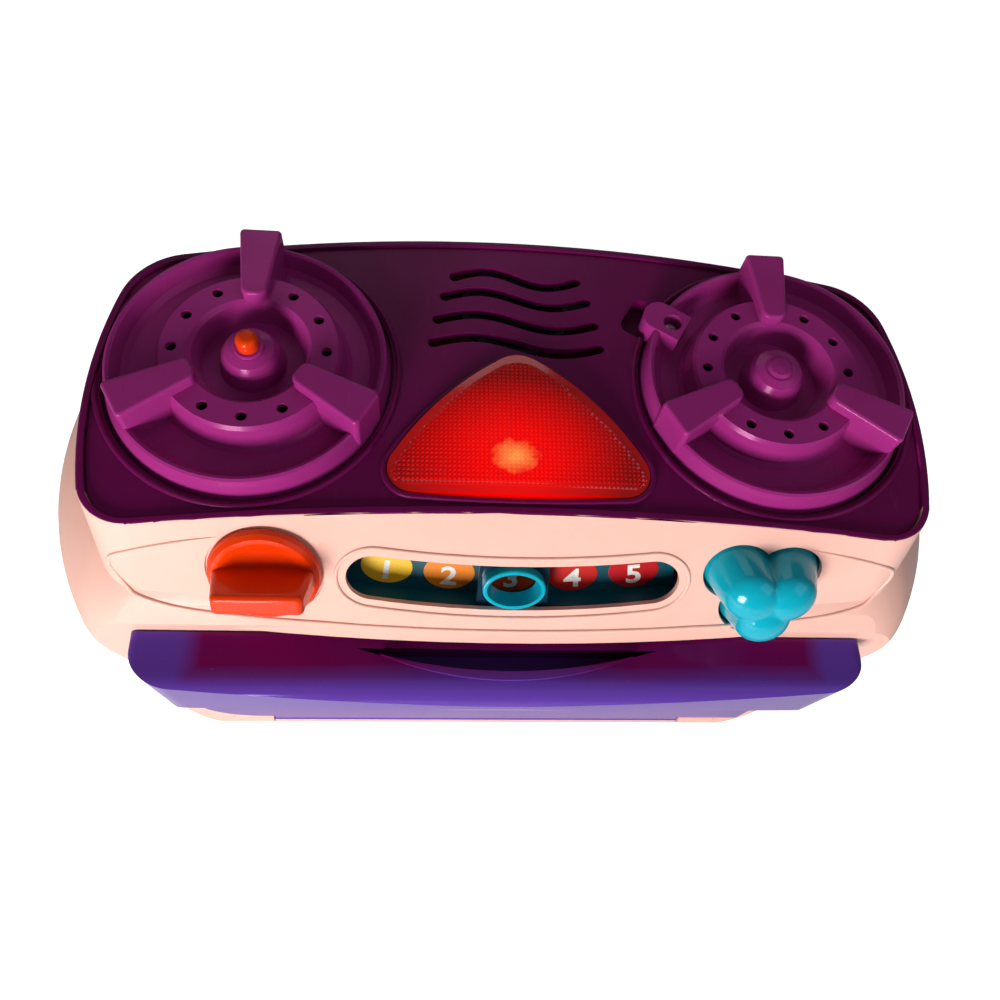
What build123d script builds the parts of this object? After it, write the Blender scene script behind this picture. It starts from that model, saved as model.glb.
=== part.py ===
from build123d import *
import math
import os
from dataclasses import dataclass, replace

# Toy oven. Millimetres, +Z up, the floor at Z = 0, the door at -Y, X across the front.
# The origin is the middle of the footprint.

# ---------------------------------------------------------------- overall body
FOOT_DROP = 2.0            # the rubber feet stand this far below the casing
TOP_Z = 240.0              # top of the pink rim
HEAD_Z = 194.0             # lower edge of the control head
PANEL_TOP_Y = -32.0        # upper edge of the sloped control panel, on the centre line
PANEL_LOW_Y = -64.5        # lower edge of the sloped control panel, on the centre line
FRONT_Y = -60.0            # flat front wall behind the door
BACK_Y = 85.5              # rearmost point of the casing
SEAM_Y = -6.0              # plane where the front and rear shells meet
WALL = 2.6                 # wall of the pink casing
RIM_FILLET = 1.0           # rounding of the casing's top edge
FIT = 0.3                  # gap between parts that are laid into each other
RUN = 0.06                 # radial clearance of a shaft that turns or slides in its bore

# ---------------------------------------------------------------- top plate
PLATE_T = 3.0              # thickness of the top plate
PLATE_SINK = 1.0           # the plate lies this far below the rim
PLATE_SIDE_IN = 2.4        # width of the pink rim beside the plate
PLATE_FRONT_IN = 2.4       # width of the pink rim in front of the plate
LEDGE = 3.0                # width of the ledge that carries the plate

# ---------------------------------------------------------------- burners
BURNER_X = 93.0            # each burner stands this far from the centre line
BURNER_Y = 22.0
RING_Z = 250.0             # top of the perforated ring
WELL_R = 50.2              # well in the top plate
WELL_WALL = 1.2
BEAD_R = 52.0              # raised bead around each well
BEAD_H = 1.1
RIM_SHIFT = 1.5            # the burner's rim lies this far outward of its ring
FOOT_SHIFT = 1.5           # the burner's foot lies this far forward of its ring
CUP_R = 49.5               # foot of the burner's outer wall
CREST_R = 46.8             # crest of the burner's rim
CREST_DROP = 4.5           # the crest lies this far below the ring
CUP_FOOT_DROP = 14.0       # the wall's foot lies this far below the ring
CUP_WALL = 2.2
RING_OUT_R = 30.6
RING_IN_R = 20.2
TROUGH_DROP = 11.5
PIT_DROP = 9.5
BOSS_R = 10.6
BOSS_RISE = 1.2            # crown of the middle boss above the ring
HOLE_CIRCLE_R = 26.0
HOLE_R = 1.85
HOLE_ANGLES = (0, 30, 60, 120, 150, 180, 240, 270, 300)
REST_ANGLES = (90, 210, 330)
REST_RISE = 4.4            # the pan rests stand this far above the ring
REST_IN_R = 19.6
REST_OUT_R = 48.1
REST_IN_W = 8.6
REST_OUT_W = 15.0
BURNER_TRAVEL = 3.0        # press travel of the right burner
GUIDE_R = 3.0              # guide posts under the right burner
GUIDE_CIRCLE_R = 36.5
GUIDE_ANGLES = (30, 270)
LUG_ANGLE = 149.0          # direction of the lug on the right burner
LUG_R = 53.0
LUG_W = 12.0
LUG_END_R = 5.7            # rounding of the lug's outer end
LUG_SCREW_R = 41.6         # circle of the bright shoulder screw
NOTCH_R = 59.0
NOTCH_W = 16.5

# ---------------------------------------------------------------- screws
SCREW_HEAD_R = 2.9
SCREW_HEAD_H = 2.2
SCREW_SHANK_R = 1.5
SCREW_GAP = 0.08           # radial gap around a screw's shank
BOSS_WALL_R = 4.0          # outer radius of a screw boss
WASHER_R = 4.4
WASHER_T = 0.8
SHOULDER_R = 1.9

# ---------------------------------------------------------------- orange press button
BUTTON_R = 3.9
BUTTON_RISE = 7.6          # top of the button above the ring
BUTTON_FLANGE_R = 6.4
BUTTON_FLANGE_T = 1.2
BUTTON_STEM_R = 2.4
BUTTON_TRAVEL = 2.5

# ---------------------------------------------------------------- lens and vents
LENS_APEX = (0.0, 30.5)
LENS_SIDE = (28.6, 8.0)
LENS_CORNER = (51.0, -24.4)
LENS_LOW = (0.0, -26.4)
LENS_APEX_R = 11.0
LENS_CORNER_R = 9.0
LENS_CROWN_Z = 244.5       # highest point of the lens
LENS_EDGE_Z = 240.6        # the lens at its corners
LENS_FLANGE = 1.4
LENS_FLANGE_T = 1.6
LENS_WALL = 2.4
LENS_SEAT_HALF = 40.0      # half the width of the gap in the plate's ledge at the lens
LIP_W = 2.2                # raised lip around the lens
LIP_H = 1.6
VENT_Y = (65.0, 55.8, 45.4, 35.2)
VENT_HALF = (23.0, 26.5, 29.0, 30.5)
VENT_AMP = 3.0
VENT_W = 4.2
VENT_POINTS = 9

# ---------------------------------------------------------------- control panel
KNOB_X = 85.9              # the turning knob, left of the centre line
KNOB_S = 24.2              # its distance down the slope
LOBE_X = 88.1              # the three-lobed button, right of the centre line
LOBE_S = 25.6              # its distance down the slope
SLOT_S = 31.5              # middle of the slot, down the slope
SLOT_ARC_R = 339.0
SLOT_HALF = 49.5           # half the slot's straight length, without its round ends
SLOT_H = 19.0
STRIP_SINK = 13.0          # label surface below the panel
STRIP_T = 1.6
STRIP_H = 29.0
STRIP_HALF = 60.0
RAIL_T = 2.0
LABEL_T = 0.3
LABEL_HALF = 57.0
RING_HALF_X = 11.2         # oval viewing ring
RING_HALF_S = 8.3
RING_WALL = 1.5
RING_PROUD = 1.2
RING_TRAVEL = 45.2         # travel of the ring to each side, along the arc
CARRIAGE_TOP = -3.2
CARRIAGE_T = 2.0
CARRIAGE_HALF_X = 12.6
CARRIAGE_HALF_S = 12.5
KNOB_R = 19.2
KNOB_RIM_H = 4.2           # crest of the knob's rim above its underside
KNOB_BOWL_H = 2.6          # middle of the knob's shallow bowl
KNOB_HOLLOW = 1.2          # depth of the hollow in the underside
KNOB_BAR_W = 8.6
KNOB_BAR_H = 17.6
KNOB_BAR_HALF = 14.8       # half the grip bar's length at its top
KNOB_BAR_FOOT = 17.4       # half its length at its foot
KNOB_STEM_R = 5.0
KNOB_TURN = 135.0
KNOB_SEAT = -0.2           # level of the knob's underside beside the panel's face
KNOB_POCKET = 0.8          # depth of the round seat in the panel
KNOB_CLEAR = 0.8           # radial room around the knob in its seat
BUSH_R = 7.5
BUSH_LEN = 10.0
CLIP_R = 7.2
CLIP_T = 1.0
STAR_R = 9.0
STAR_T = 3.0
LOBE_R = 11.5
LOBE_CIRCLE_R = 10.3
LOBE_GAP = 0.9
LOBE_FLANGE = 2.0
LOBE_FLANGE_T = 2.0
LOBE_H = 14.0
LOBE_DOME_R = 13.0
LOBE_TOP_R = 16.2
LOBE_DOME_IN = 2.4         # the domes stand this far nearer to the middle than the lobes
LOBE_TRAVEL = 3.5
PANEL_BOARD_SINK = 26.0
PANEL_BOARD_T = 1.6
PANEL_BOARD_HALF = 117.0
PANEL_BOARD_LOW_S = 48.0
PANEL_BOARD_HIGH_S = 8.0

# ---------------------------------------------------------------- door
DOOR_HALF = 137.0
DOOR_TOP_Z = 191.0
DOOR_FRONT_Y = -85.5
DOOR_WALL = 2.4
DOOR_CORNER_R = 17.0
DOOR_LOW_Z = 44.5
DOOR_LOW_CORNER_R = 27.0
DOOR_END_Y = -80.0         # front of the door beside its corners
DOOR_CHIN_Z = 176.0        # below this level the front slopes back
DOOR_SLIM_Y = -64.6        # front of the door's slim lower part
DOOR_SLIM_Z = 75.0
DOOR_BROW_R = 9.0
DOOR_CHIN_R = 24.0
DOOR_LINER_T = 1.5
DOOR_PLUG_HALF = 106.0
DOOR_PLUG_T = 2.6
CATCH_HALF = 8.0
CATCH_H = 4.0
CATCH_REACH = 4.0
DOOR_GAP = 0.6             # gap between the closed door and the front wall
HINGE_Y = -60.5
HINGE_Z = 38.0
HINGE_BARREL_R = 4.5
HINGE_HALF = 106.0
HINGE_PIN_R = 1.8
HINGE_LUG_W = 20.0
HINGE_LUG_R = 5.5
DOOR_OPEN = 85.0
PULL_HALF = 56.0
PULL_BACK_Y = -66.0
PULL_FRONT_Y = -74.5
PULL_DEPTH = 13.0
PULL_RIDGE_W = 3.2
PULL_RIDGE_H = 2.0

# ---------------------------------------------------------------- oven box
OVEN_HALF = 110.0
OVEN_LOW_Z = 50.0
OVEN_HIGH_Z = 180.0
OVEN_BACK_Y = 44.0
OVEN_WALL = 2.0
OVEN_FLANGE = 8.0
RACK_Z = 98.0
RACK_BAR = 3.0
RACK_BARS = 13

# ---------------------------------------------------------------- battery bay
CELL_R = 7.1
CELL_LEN = 50.5
CELL_PITCH = 15.2
CELLS = 3
BAY_LOW_Z = 92.0
BAY_WALL = 1.8
BAY_DOOR_T = 2.2

PARTS = {}


def group(solids):
    """Separate solids that share one node."""
    return Compound(children=[solid for item in solids for solid in item.solids()])


# ---------------------------------------------------------------- shared shapes
@dataclass(frozen=True)
class Outline:
    """One level of the casing seen from above: four bowed sides with rounded corners."""

    z: float
    half_front: float
    half_side: float
    half_back: float
    front_end: float
    front_mid: float
    back_end: float
    back_mid: float
    corner_front: float
    corner_back: float
    side_y: float = 10.0

    def inset(self, side, front=None, back=None):
        """The same level, drawn further in."""
        front = side if front is None else front
        back = side if back is None else back
        return replace(
            self,
            half_front=self.half_front - side,
            half_side=self.half_side - side,
            half_back=self.half_back - side,
            front_end=self.front_end + front,
            front_mid=self.front_mid + front,
            back_end=self.back_end - back,
            back_mid=self.back_mid - back,
            corner_front=self.corner_front - min(side, front),
            corner_back=self.corner_back - min(side, back),
        )

    def toward(self, other, z):
        """The level at height z on the straight way from this level to another."""
        share = (z - self.z) / (other.z - self.z)
        mixed = {
            name: getattr(self, name) + share * (getattr(other, name) - getattr(self, name))
            for name in self.__dataclass_fields__
        }
        return Outline(**mixed)

    def face(self):
        """The flat face of this level."""
        front_left = (-self.half_front, self.front_end)
        front_right = (self.half_front, self.front_end)
        back_right = (self.half_back, self.back_end)
        back_left = (-self.half_back, self.back_end)
        sketch = make_face([
            bowed(front_left, (0, self.front_mid), front_right),
            bowed(front_right, (self.half_side, self.side_y), back_right),
            bowed(back_right, (0, self.back_mid), back_left),
            bowed(back_left, (-self.half_side, self.side_y), front_left),
        ])
        sketch = fillet(sketch.vertices().sort_by(Axis.Y)[:2], self.corner_front)
        sketch = fillet(sketch.vertices().sort_by(Axis.Y)[-2:], self.corner_back)
        return Pos(0, 0, self.z) * sketch


def bowed(start, middle, end):
    """An arc through three points, or a line where they lie level."""
    if start[1] == middle[1] == end[1]:
        return Line(start, end)
    return ThreePointArc(start, middle, end)


def bow_y(x, half, end_y, middle_y):
    """Y of a front edge that bows from (half, end_y) to (0, middle_y)."""
    sag = middle_y - end_y
    radius = (half**2 + sag**2) / (2 * abs(sag))
    return middle_y - math.copysign(radius - math.sqrt(radius**2 - x**2), sag)


def block(low, high):
    """A box between two corners."""
    size = [b - a for a, b in zip(low, high)]
    centre = [(a + b) / 2 for a, b in zip(low, high)]
    return Pos(*centre) * Box(*size)


def rod(radius, start, end):
    """A round bar between two points."""
    start, end = Vector(*start), Vector(*end)
    along = end - start
    plane = Plane(origin=start, z_dir=along)
    return plane * Pos(0, 0, along.length / 2) * Cylinder(radius, along.length)


def lathe(points):
    """A turned solid about Z from (radius, height) points."""
    return revolve(Plane.XZ * make_face(Polyline(*points, close=True)), Axis.Z)


def fuse(shapes):
    """All shapes joined."""
    total = None
    for shape in shapes:
        total = shape if total is None else total + shape
    return total


def polar(radius, angle, z=0.0):
    """A point at a radius and an angle in degrees."""
    turn = math.radians(angle)
    return (radius * math.cos(turn), radius * math.sin(turn), z)


def mirrored(shape):
    """The shape and its mirror image across the centre line."""
    return [shape, mirror(shape, Plane.YZ)]


def screw(head, tip, head_r=SCREW_HEAD_R, shank_r=SCREW_SHANK_R):
    """A pan-head screw with a cross recess: head is the seat of the head, tip the shank's end."""
    head, tip = Vector(*head), Vector(*tip)
    plane = Plane(origin=head, z_dir=head - tip)
    length = (head - tip).length
    shank = Pos(0, 0, -length / 2) * Cylinder(shank_r, length)
    cap = Pos(0, 0, SCREW_HEAD_H / 2) * Cylinder(head_r, SCREW_HEAD_H)
    cap = fillet(cap.faces().sort_by(Axis.Z)[-1].edges(), SCREW_HEAD_H * 0.4)
    arm = head_r * 1.1
    cross = Box(arm, head_r * 0.28, SCREW_HEAD_H) + Box(head_r * 0.28, arm, SCREW_HEAD_H)
    return plane * (shank + cap - Pos(0, 0, SCREW_HEAD_H) * cross)


# ---------------------------------------------------------------- levels of the casing
FRONT_CUT = 4.0            # the lower body is drawn this far beyond its flat front wall
LOWER = (
    Outline(FOOT_DROP, 144.0, 151.0, 140.0, FRONT_Y - FRONT_CUT, FRONT_Y - FRONT_CUT,
            70.0, BACK_Y - 3.0, 18.0, 26.0),
    Outline(72.0, 148.0, 166.0, 146.0, FRONT_Y - FRONT_CUT, FRONT_Y - FRONT_CUT,
            70.0, BACK_Y, 22.0, 28.0),
    Outline(146.0, 150.0, 173.0, 150.0, FRONT_Y - FRONT_CUT, FRONT_Y - FRONT_CUT,
            70.0, BACK_Y, 25.0, 30.0),
    Outline(190.0, 147.5, 171.0, 148.0, FRONT_Y - FRONT_CUT, FRONT_Y - FRONT_CUT,
            68.0, BACK_Y - 0.7, 23.0, 30.0),
    Outline(216.0, 140.0, 152.0, 138.0, -38.0, -38.0, 64.0, BACK_Y - 5.0, 24.0, 26.0),
)
HEAD_LOW = Outline(HEAD_Z, 140.0, 150.0, 137.0, -55.5, PANEL_LOW_Y, 66.0, 81.0, 13.0, 26.0)
HEAD_TOP = Outline(TOP_Z, 141.0, 148.4, 138.0, -40.6, PANEL_TOP_Y, 65.6, 81.6, 17.0, 26.0)
PLATE_TOP_Z = TOP_Z - PLATE_SINK
PLATE_LOW_Z = PLATE_TOP_Z - PLATE_T
LEDGE_Z = PLATE_LOW_Z - WALL
PLATE_OUTLINE = HEAD_TOP.inset(PLATE_SIDE_IN, PLATE_FRONT_IN, PLATE_SIDE_IN)


def level(outline, z):
    """The outline's face, laid at height z."""
    return replace(outline, z=z).face()


def prism(outline, low, high):
    """A straight block with this outline."""
    return extrude(level(outline, low), high - low)


def panel_plane(x):
    """A plane on the sloped panel at x: its X runs across, its Y up the slope, its Z outward."""
    top_y = bow_y(x, HEAD_TOP.half_front, HEAD_TOP.front_end, HEAD_TOP.front_mid)
    low_y = bow_y(x, HEAD_LOW.half_front, HEAD_LOW.front_end, HEAD_LOW.front_mid)
    run = top_y - low_y
    drop = TOP_Z - HEAD_Z
    return Plane(origin=(x, top_y, TOP_Z), x_dir=(1, 0, 0), z_dir=(0, -drop, run))


PANEL = panel_plane(0.0)
KNOB_PLANE = panel_plane(-KNOB_X)
LOBE_PLANE = panel_plane(LOBE_X)
SLOPE = math.hypot(PANEL_TOP_Y - PANEL_LOW_Y, TOP_Z - HEAD_Z)


def outer_body():
    """The casing's outer form, solid."""
    lower = loft([o.face() for o in LOWER])
    lower -= block((-200, FRONT_Y - 60, -10), (200, FRONT_Y, TOP_Z + 10))
    clear = PANEL * Pos(0, 0, 50 - WALL / 2) * Box(600, 4 * SLOPE, 100)
    lower -= clear & block((-300, -200, HEAD_Z), (300, SEAM_Y, TOP_Z + 100))
    head = loft([HEAD_LOW.face(), HEAD_TOP.face()], ruled=True)
    head = fillet(head.faces().sort_by(Axis.Z)[-1].edges(), RIM_FILLET)
    return (lower + head) & block((-300, -300, 0), (300, BACK_Y, 300))


def inner_body():
    """The casing's hollow, solid."""
    lower = loft([o.inset(WALL).face() for o in LOWER])
    lower -= block((-200, FRONT_Y - 60, -10), (200, FRONT_Y + WALL, TOP_Z + 10))
    clear = PANEL * Pos(0, 0, 50 - WALL * 1.5) * Box(600, 4 * SLOPE, 100)
    lower -= clear & block((-300, -200, HEAD_Z), (300, SEAM_Y, TOP_Z + 100))
    low = HEAD_LOW.toward(HEAD_TOP, HEAD_Z + WALL).inset(WALL)
    high = HEAD_LOW.toward(HEAD_TOP, LEDGE_Z).inset(WALL)
    head = loft([low.face(), high.face()], ruled=True)
    return lower + head


# ---------------------------------------------------------------- panel features
SLOT_CENTRE = SLOT_ARC_R - SLOT_S          # centre of the slot's arc, up the slope
SLOT_TURN = math.degrees(SLOT_HALF / SLOT_ARC_R)


def arc_band(half_length, low, high, low_z, high_z, round_ends=False):
    """A curved bar on the panel along the slot's arc, between two distances from its centre."""
    turn = math.degrees(half_length / SLOT_ARC_R)
    near = SLOT_ARC_R + low
    far = SLOT_ARC_R + high

    def spot(radius, angle):
        x, y, _ = polar(radius, angle - 90)
        return (x, y + SLOT_CENTRE)

    near_arc = ThreePointArc(spot(near, -turn), spot(near, 0), spot(near, turn))
    far_arc = ThreePointArc(spot(far, turn), spot(far, 0), spot(far, -turn))
    if round_ends:
        cap = math.degrees((far - near) / 2 / SLOT_ARC_R)
        middle = (near + far) / 2
        right = ThreePointArc(spot(near, turn), spot(middle, turn + cap), spot(far, turn))
        left = ThreePointArc(spot(far, -turn), spot(middle, -turn - cap), spot(near, -turn))
    else:
        right = Line(spot(near, turn), spot(far, turn))
        left = Line(spot(far, -turn), spot(near, -turn))
    sketch = make_face([near_arc, right, far_arc, left])
    return PANEL * Pos(0, 0, low_z) * extrude(sketch, high_z - low_z)


def trefoil(grow):
    """The three-lobed outline, in the button's plane."""
    lobes = [Pos(*polar(LOBE_CIRCLE_R, a)) * Circle(LOBE_R + grow) for a in (30, 150, 270)]
    return fuse([*lobes, Circle(LOBE_CIRCLE_R)])


PANEL_POST_R = 3.5
PANEL_POSTS = [(side * x, s) for side in (-1, 1) for x, s in ((67.5, 44.0), (112.5, 12.0))]
STRIP_EARS = [(-54.0, 8.0), (54.0, 8.0), (0.0, 50.5)]
HOUSING_SCREWS = [(side * x, z) for side in (-1, 1) for x, z in ((136.0, 52.0), (138.0, 164.0), (130.0, 212.0))]
HOUSING_SEAT_Y = SEAM_Y + 8.0
HOUSING_TIP_Y = SEAM_Y - 20.0
BASE_T = 2.6
BASE_TOP_Z = FOOT_DROP + BASE_T
BASE_BOSS_TOP_Z = 18.0
BASE_FRONT_BOSSES = [(side * 118.0, FRONT_Y + WALL + 3.2) for side in (-1, 1)]
BASE_BACK_BOSSES = [(side * 100.0, 70.0) for side in (-1, 1)]
LINER_BOSS_Y = FRONT_Y + WALL + 6.0
LINER_SCREWS = [(side * (OVEN_HALF + OVEN_WALL + 5.5), z) for side in (-1, 1) for z in (76.0, 156.0)]
LINER_FLANGE_Z = (OVEN_LOW_Z - OVEN_WALL - 1.0, OVEN_HIGH_Z + OVEN_WALL)
OVEN_SEAT_HALF = OVEN_HALF + OVEN_WALL + 1.0 + FIT
CATCH_Z = OVEN_HIGH_Z + OVEN_WALL + CATCH_H / 2 + 1.0
LUG_START = HINGE_HALF + 0.5
LUG_END = LUG_START + HINGE_LUG_W
BARREL_SLOT = 0.7
BORE_R = SCREW_SHANK_R + SCREW_GAP


HOB_SCREWS = [(-36.0, 68.0), (36.0, 68.0), (-66.0, -28.0), (66.0, -28.0)]
HOB_EAR_T = 2.4
HOB_EAR_HALF = 4.2
WELL_FLOOR_T = 2.2
CUP_FOOT_Z = RING_Z - CUP_FOOT_DROP
LEFT_FLOOR_Z = CUP_FOOT_Z
RIGHT_FLOOR_Z = CUP_FOOT_Z - BURNER_TRAVEL - 0.5


def well_centre(side):
    """Location of a well's middle: -1 is the left burner, 1 the right one."""
    return Pos(side * (BURNER_X + RIM_SHIFT), BURNER_Y - FOOT_SHIFT, 0)


def ring_centre(side):
    """Location of a burner's ring."""
    return Pos(side * BURNER_X, BURNER_Y, 0)


def hob_ear(x, y):
    """An ear of the casing under a screw boss of the top plate, reaching to the nearest wall."""
    reach = math.copysign(30.0, y)
    low, high = sorted((y - math.copysign(HOB_EAR_HALF, y), y + reach))
    return block((x - HOB_EAR_HALF, low, LEDGE_Z - HOB_EAR_T), (x + HOB_EAR_HALF, high, LEDGE_Z))


def shared_cuts():
    """Cuts that both shells share: the plate's seat, its opening, its wells and its screws."""
    cuts = [
        prism(PLATE_OUTLINE.inset(-FIT), PLATE_LOW_Z, PLATE_LOW_Z + 60),
        prism(PLATE_OUTLINE.inset(LEDGE), LEDGE_Z, PLATE_LOW_Z + 60),
    ]
    for side, floor in ((-1, LEFT_FLOOR_Z), (1, RIGHT_FLOOR_Z)):
        low = floor - WELL_FLOOR_T - FIT
        cuts.append(well_centre(side) * rod(WELL_R + WELL_WALL + FIT, (0, 0, low), (0, 0, PLATE_LOW_Z + 1)))
    for x, y in HOB_SCREWS:
        cuts.append(rod(BORE_R, (x, y, LEDGE_Z - HOB_EAR_T - 1), (x, y, PLATE_LOW_Z)))
        cuts.append(rod(PLATE_BOSS_R + FIT, (x, y, LEDGE_Z), (x, y, PLATE_LOW_Z + 1)))
    return cuts


def make_front_shell(outer, hollow):
    """Front half of the casing: control panel, door mouth, hinge lugs and screw bosses."""
    half = block((-300, -200, -10), (300, SEAM_Y, 400))
    shell = (outer - hollow) & half
    adds = []
    for x, z in HOUSING_SCREWS:
        adds.append(rod(BOSS_WALL_R + 0.5, (x, SEAM_Y, z), (x, FRONT_Y, z)) & outer & half)
    for x, y in BASE_FRONT_BOSSES:
        adds.append(rod(BOSS_WALL_R, (x, y, BASE_TOP_Z), (x, y, BASE_BOSS_TOP_Z)))
    for x, z in LINER_SCREWS:
        adds.append(rod(BOSS_WALL_R, (x, FRONT_Y + WALL / 2, z), (x, LINER_BOSS_Y, z)))
    for x, s in PANEL_POSTS:
        post = PANEL * Pos(x, -s, 0) * rod(PANEL_POST_R, (0, 0, -PANEL_BOARD_SINK), (0, 0, 8))
        adds.append(post & outer)
    for x, s in STRIP_EARS:
        post = PANEL * Pos(x, -s, 0) * rod(PANEL_POST_R, (0, 0, -STRIP_SINK), (0, 0, 5))
        adds.append(post & outer)
    bush = KNOB_PLANE * Pos(0, -KNOB_S, 0) * rod(BUSH_R, (0, 0, -BUSH_LEN), (0, 0, 0))
    adds.append(bush)
    adds += [hob_ear(x, y) & outer for x, y in HOB_SCREWS if y < SEAM_Y]
    lug = rod(HINGE_LUG_R, (LUG_START, HINGE_Y, HINGE_Z), (LUG_END, HINGE_Y, HINGE_Z))
    lug = fillet(lug.faces().sort_by(Axis.X)[-1].edges(), 1.5)
    adds += mirrored(lug)
    shell = fuse([shell, *adds])

    cuts = shared_cuts() + [
        block((-OVEN_HALF, FRONT_Y - 5, OVEN_LOW_Z), (OVEN_HALF, FRONT_Y + 3 * WALL, OVEN_HIGH_Z)),
        block((-LUG_START, FRONT_Y - 9, HINGE_Z - HINGE_BARREL_R - BARREL_SLOT),
              (LUG_START, FRONT_Y + WALL + 4, HINGE_Z + HINGE_BARREL_R + BARREL_SLOT)),
        block((-CATCH_HALF - FIT, FRONT_Y - 5, OVEN_HIGH_Z - 1),
              (CATCH_HALF + FIT, FRONT_Y + 2 * WALL, CATCH_Z + CATCH_H / 2 + FIT)),
        arc_band(SLOT_HALF, -SLOT_H / 2, SLOT_H / 2, -10, 20, round_ends=True),
        LOBE_PLANE * Pos(0, -LOBE_S, -20) * extrude(trefoil(LOBE_GAP), 60),
        LOBE_PLANE * Pos(0, -LOBE_S, -20) * extrude(trefoil(LOBE_FLANGE + FIT), 20 - WALL),
        block((-OVEN_SEAT_HALF, FRONT_Y + WALL, LINER_FLANGE_Z[0] - FIT),
              (OVEN_SEAT_HALF, FRONT_Y + WALL + OVEN_WALL + FIT, LINER_FLANGE_Z[1] + FIT)),
        KNOB_PLANE * Pos(0, -KNOB_S, 0) * Cylinder(KNOB_STEM_R + RUN, 80),
        KNOB_PLANE * Pos(0, -KNOB_S, 0) * rod(KNOB_R + KNOB_CLEAR, (0, 0, -KNOB_POCKET), (0, 0, 20)),
        block((-LENS_SEAT_HALF, LENS_LOW[1] - LENS_FLANGE - FIT, LEDGE_Z - 1), (LENS_SEAT_HALF, 0, PLATE_LOW_Z + 1)),
    ]
    for x, z in HOUSING_SCREWS:
        cuts.append(rod(BORE_R, (x, SEAM_Y + 1, z), (x, HOUSING_TIP_Y - 1, z)))
    for x, y in BASE_FRONT_BOSSES:
        cuts.append(rod(BORE_R, (x, y, BASE_TOP_Z - 1), (x, y, BASE_BOSS_TOP_Z - 2)))
    for x, z in LINER_SCREWS:
        cuts.append(rod(BORE_R, (x, LINER_BOSS_Y + 1, z), (x, FRONT_Y + WALL, z)))
    for x, s in PANEL_POSTS:
        cuts.append(PANEL * Pos(x, -s, 0) * rod(BORE_R, (0, 0, -PANEL_BOARD_SINK - 1), (0, 0, -12)))
    for x, s in STRIP_EARS:
        cuts.append(PANEL * Pos(x, -s, 0) * rod(BORE_R, (0, 0, -STRIP_SINK - 1), (0, 0, -5)))
    for side in (-1, 1):
        cuts.append(rod(HINGE_PIN_R + RUN, (side * (LUG_START - 1), HINGE_Y, HINGE_Z),
                        (side * (LUG_END - 2), HINGE_Y, HINGE_Z)))
    for cut in cuts:
        shell -= cut
    return shell


# ---------------------------------------------------------------- battery bay and switch
BAY_HALF = CELLS * CELL_PITCH / 2 + 1.0
COIL_SPACE = 5.5           # room for the coil at a cell's flat end
TIP_SPACE = 1.5            # room for the contact at a cell's tip
BAY_HIGH_Z = BAY_LOW_Z + COIL_SPACE + CELL_LEN + TIP_SPACE
BAY_DOOR_HALF = BAY_HALF + 4.0
BAY_DOOR_LOW_Z = BAY_LOW_Z - 12.0
BAY_DOOR_HIGH_Z = BAY_HIGH_Z + 4.0
BAY_DOOR_Y = BACK_Y - 0.6 - BAY_DOOR_T
BAY_PAD_Y = BAY_DOOR_Y - 3.4
CELL_Y = BAY_PAD_Y - CELL_R - 1.2
BAY_INNER_Y = CELL_Y - CELL_R - 0.4
BAY_SCREW_Z = BAY_LOW_Z - 6.5
CELL_NUB_R = 2.7
CELL_NUB_H = 1.2
CONTACT_HALF = 5.0
CONTACT_T = 0.5
COIL_WIRE_R = 0.9
COIL_PITCH = 1.5
COIL_R = 4.8
COIL_TAPER = 0.6
COIL_TURNS = 3
SWITCH_X = 56.0
SWITCH_Z = 120.0
SWITCH_TRAVEL = 5.0
SWITCH_KNOB_W = 7.0
SWITCH_KNOB_H = 6.0
SWITCH_PAD_Y = 79.0
SWITCH_POCKET = 1.6


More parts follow.
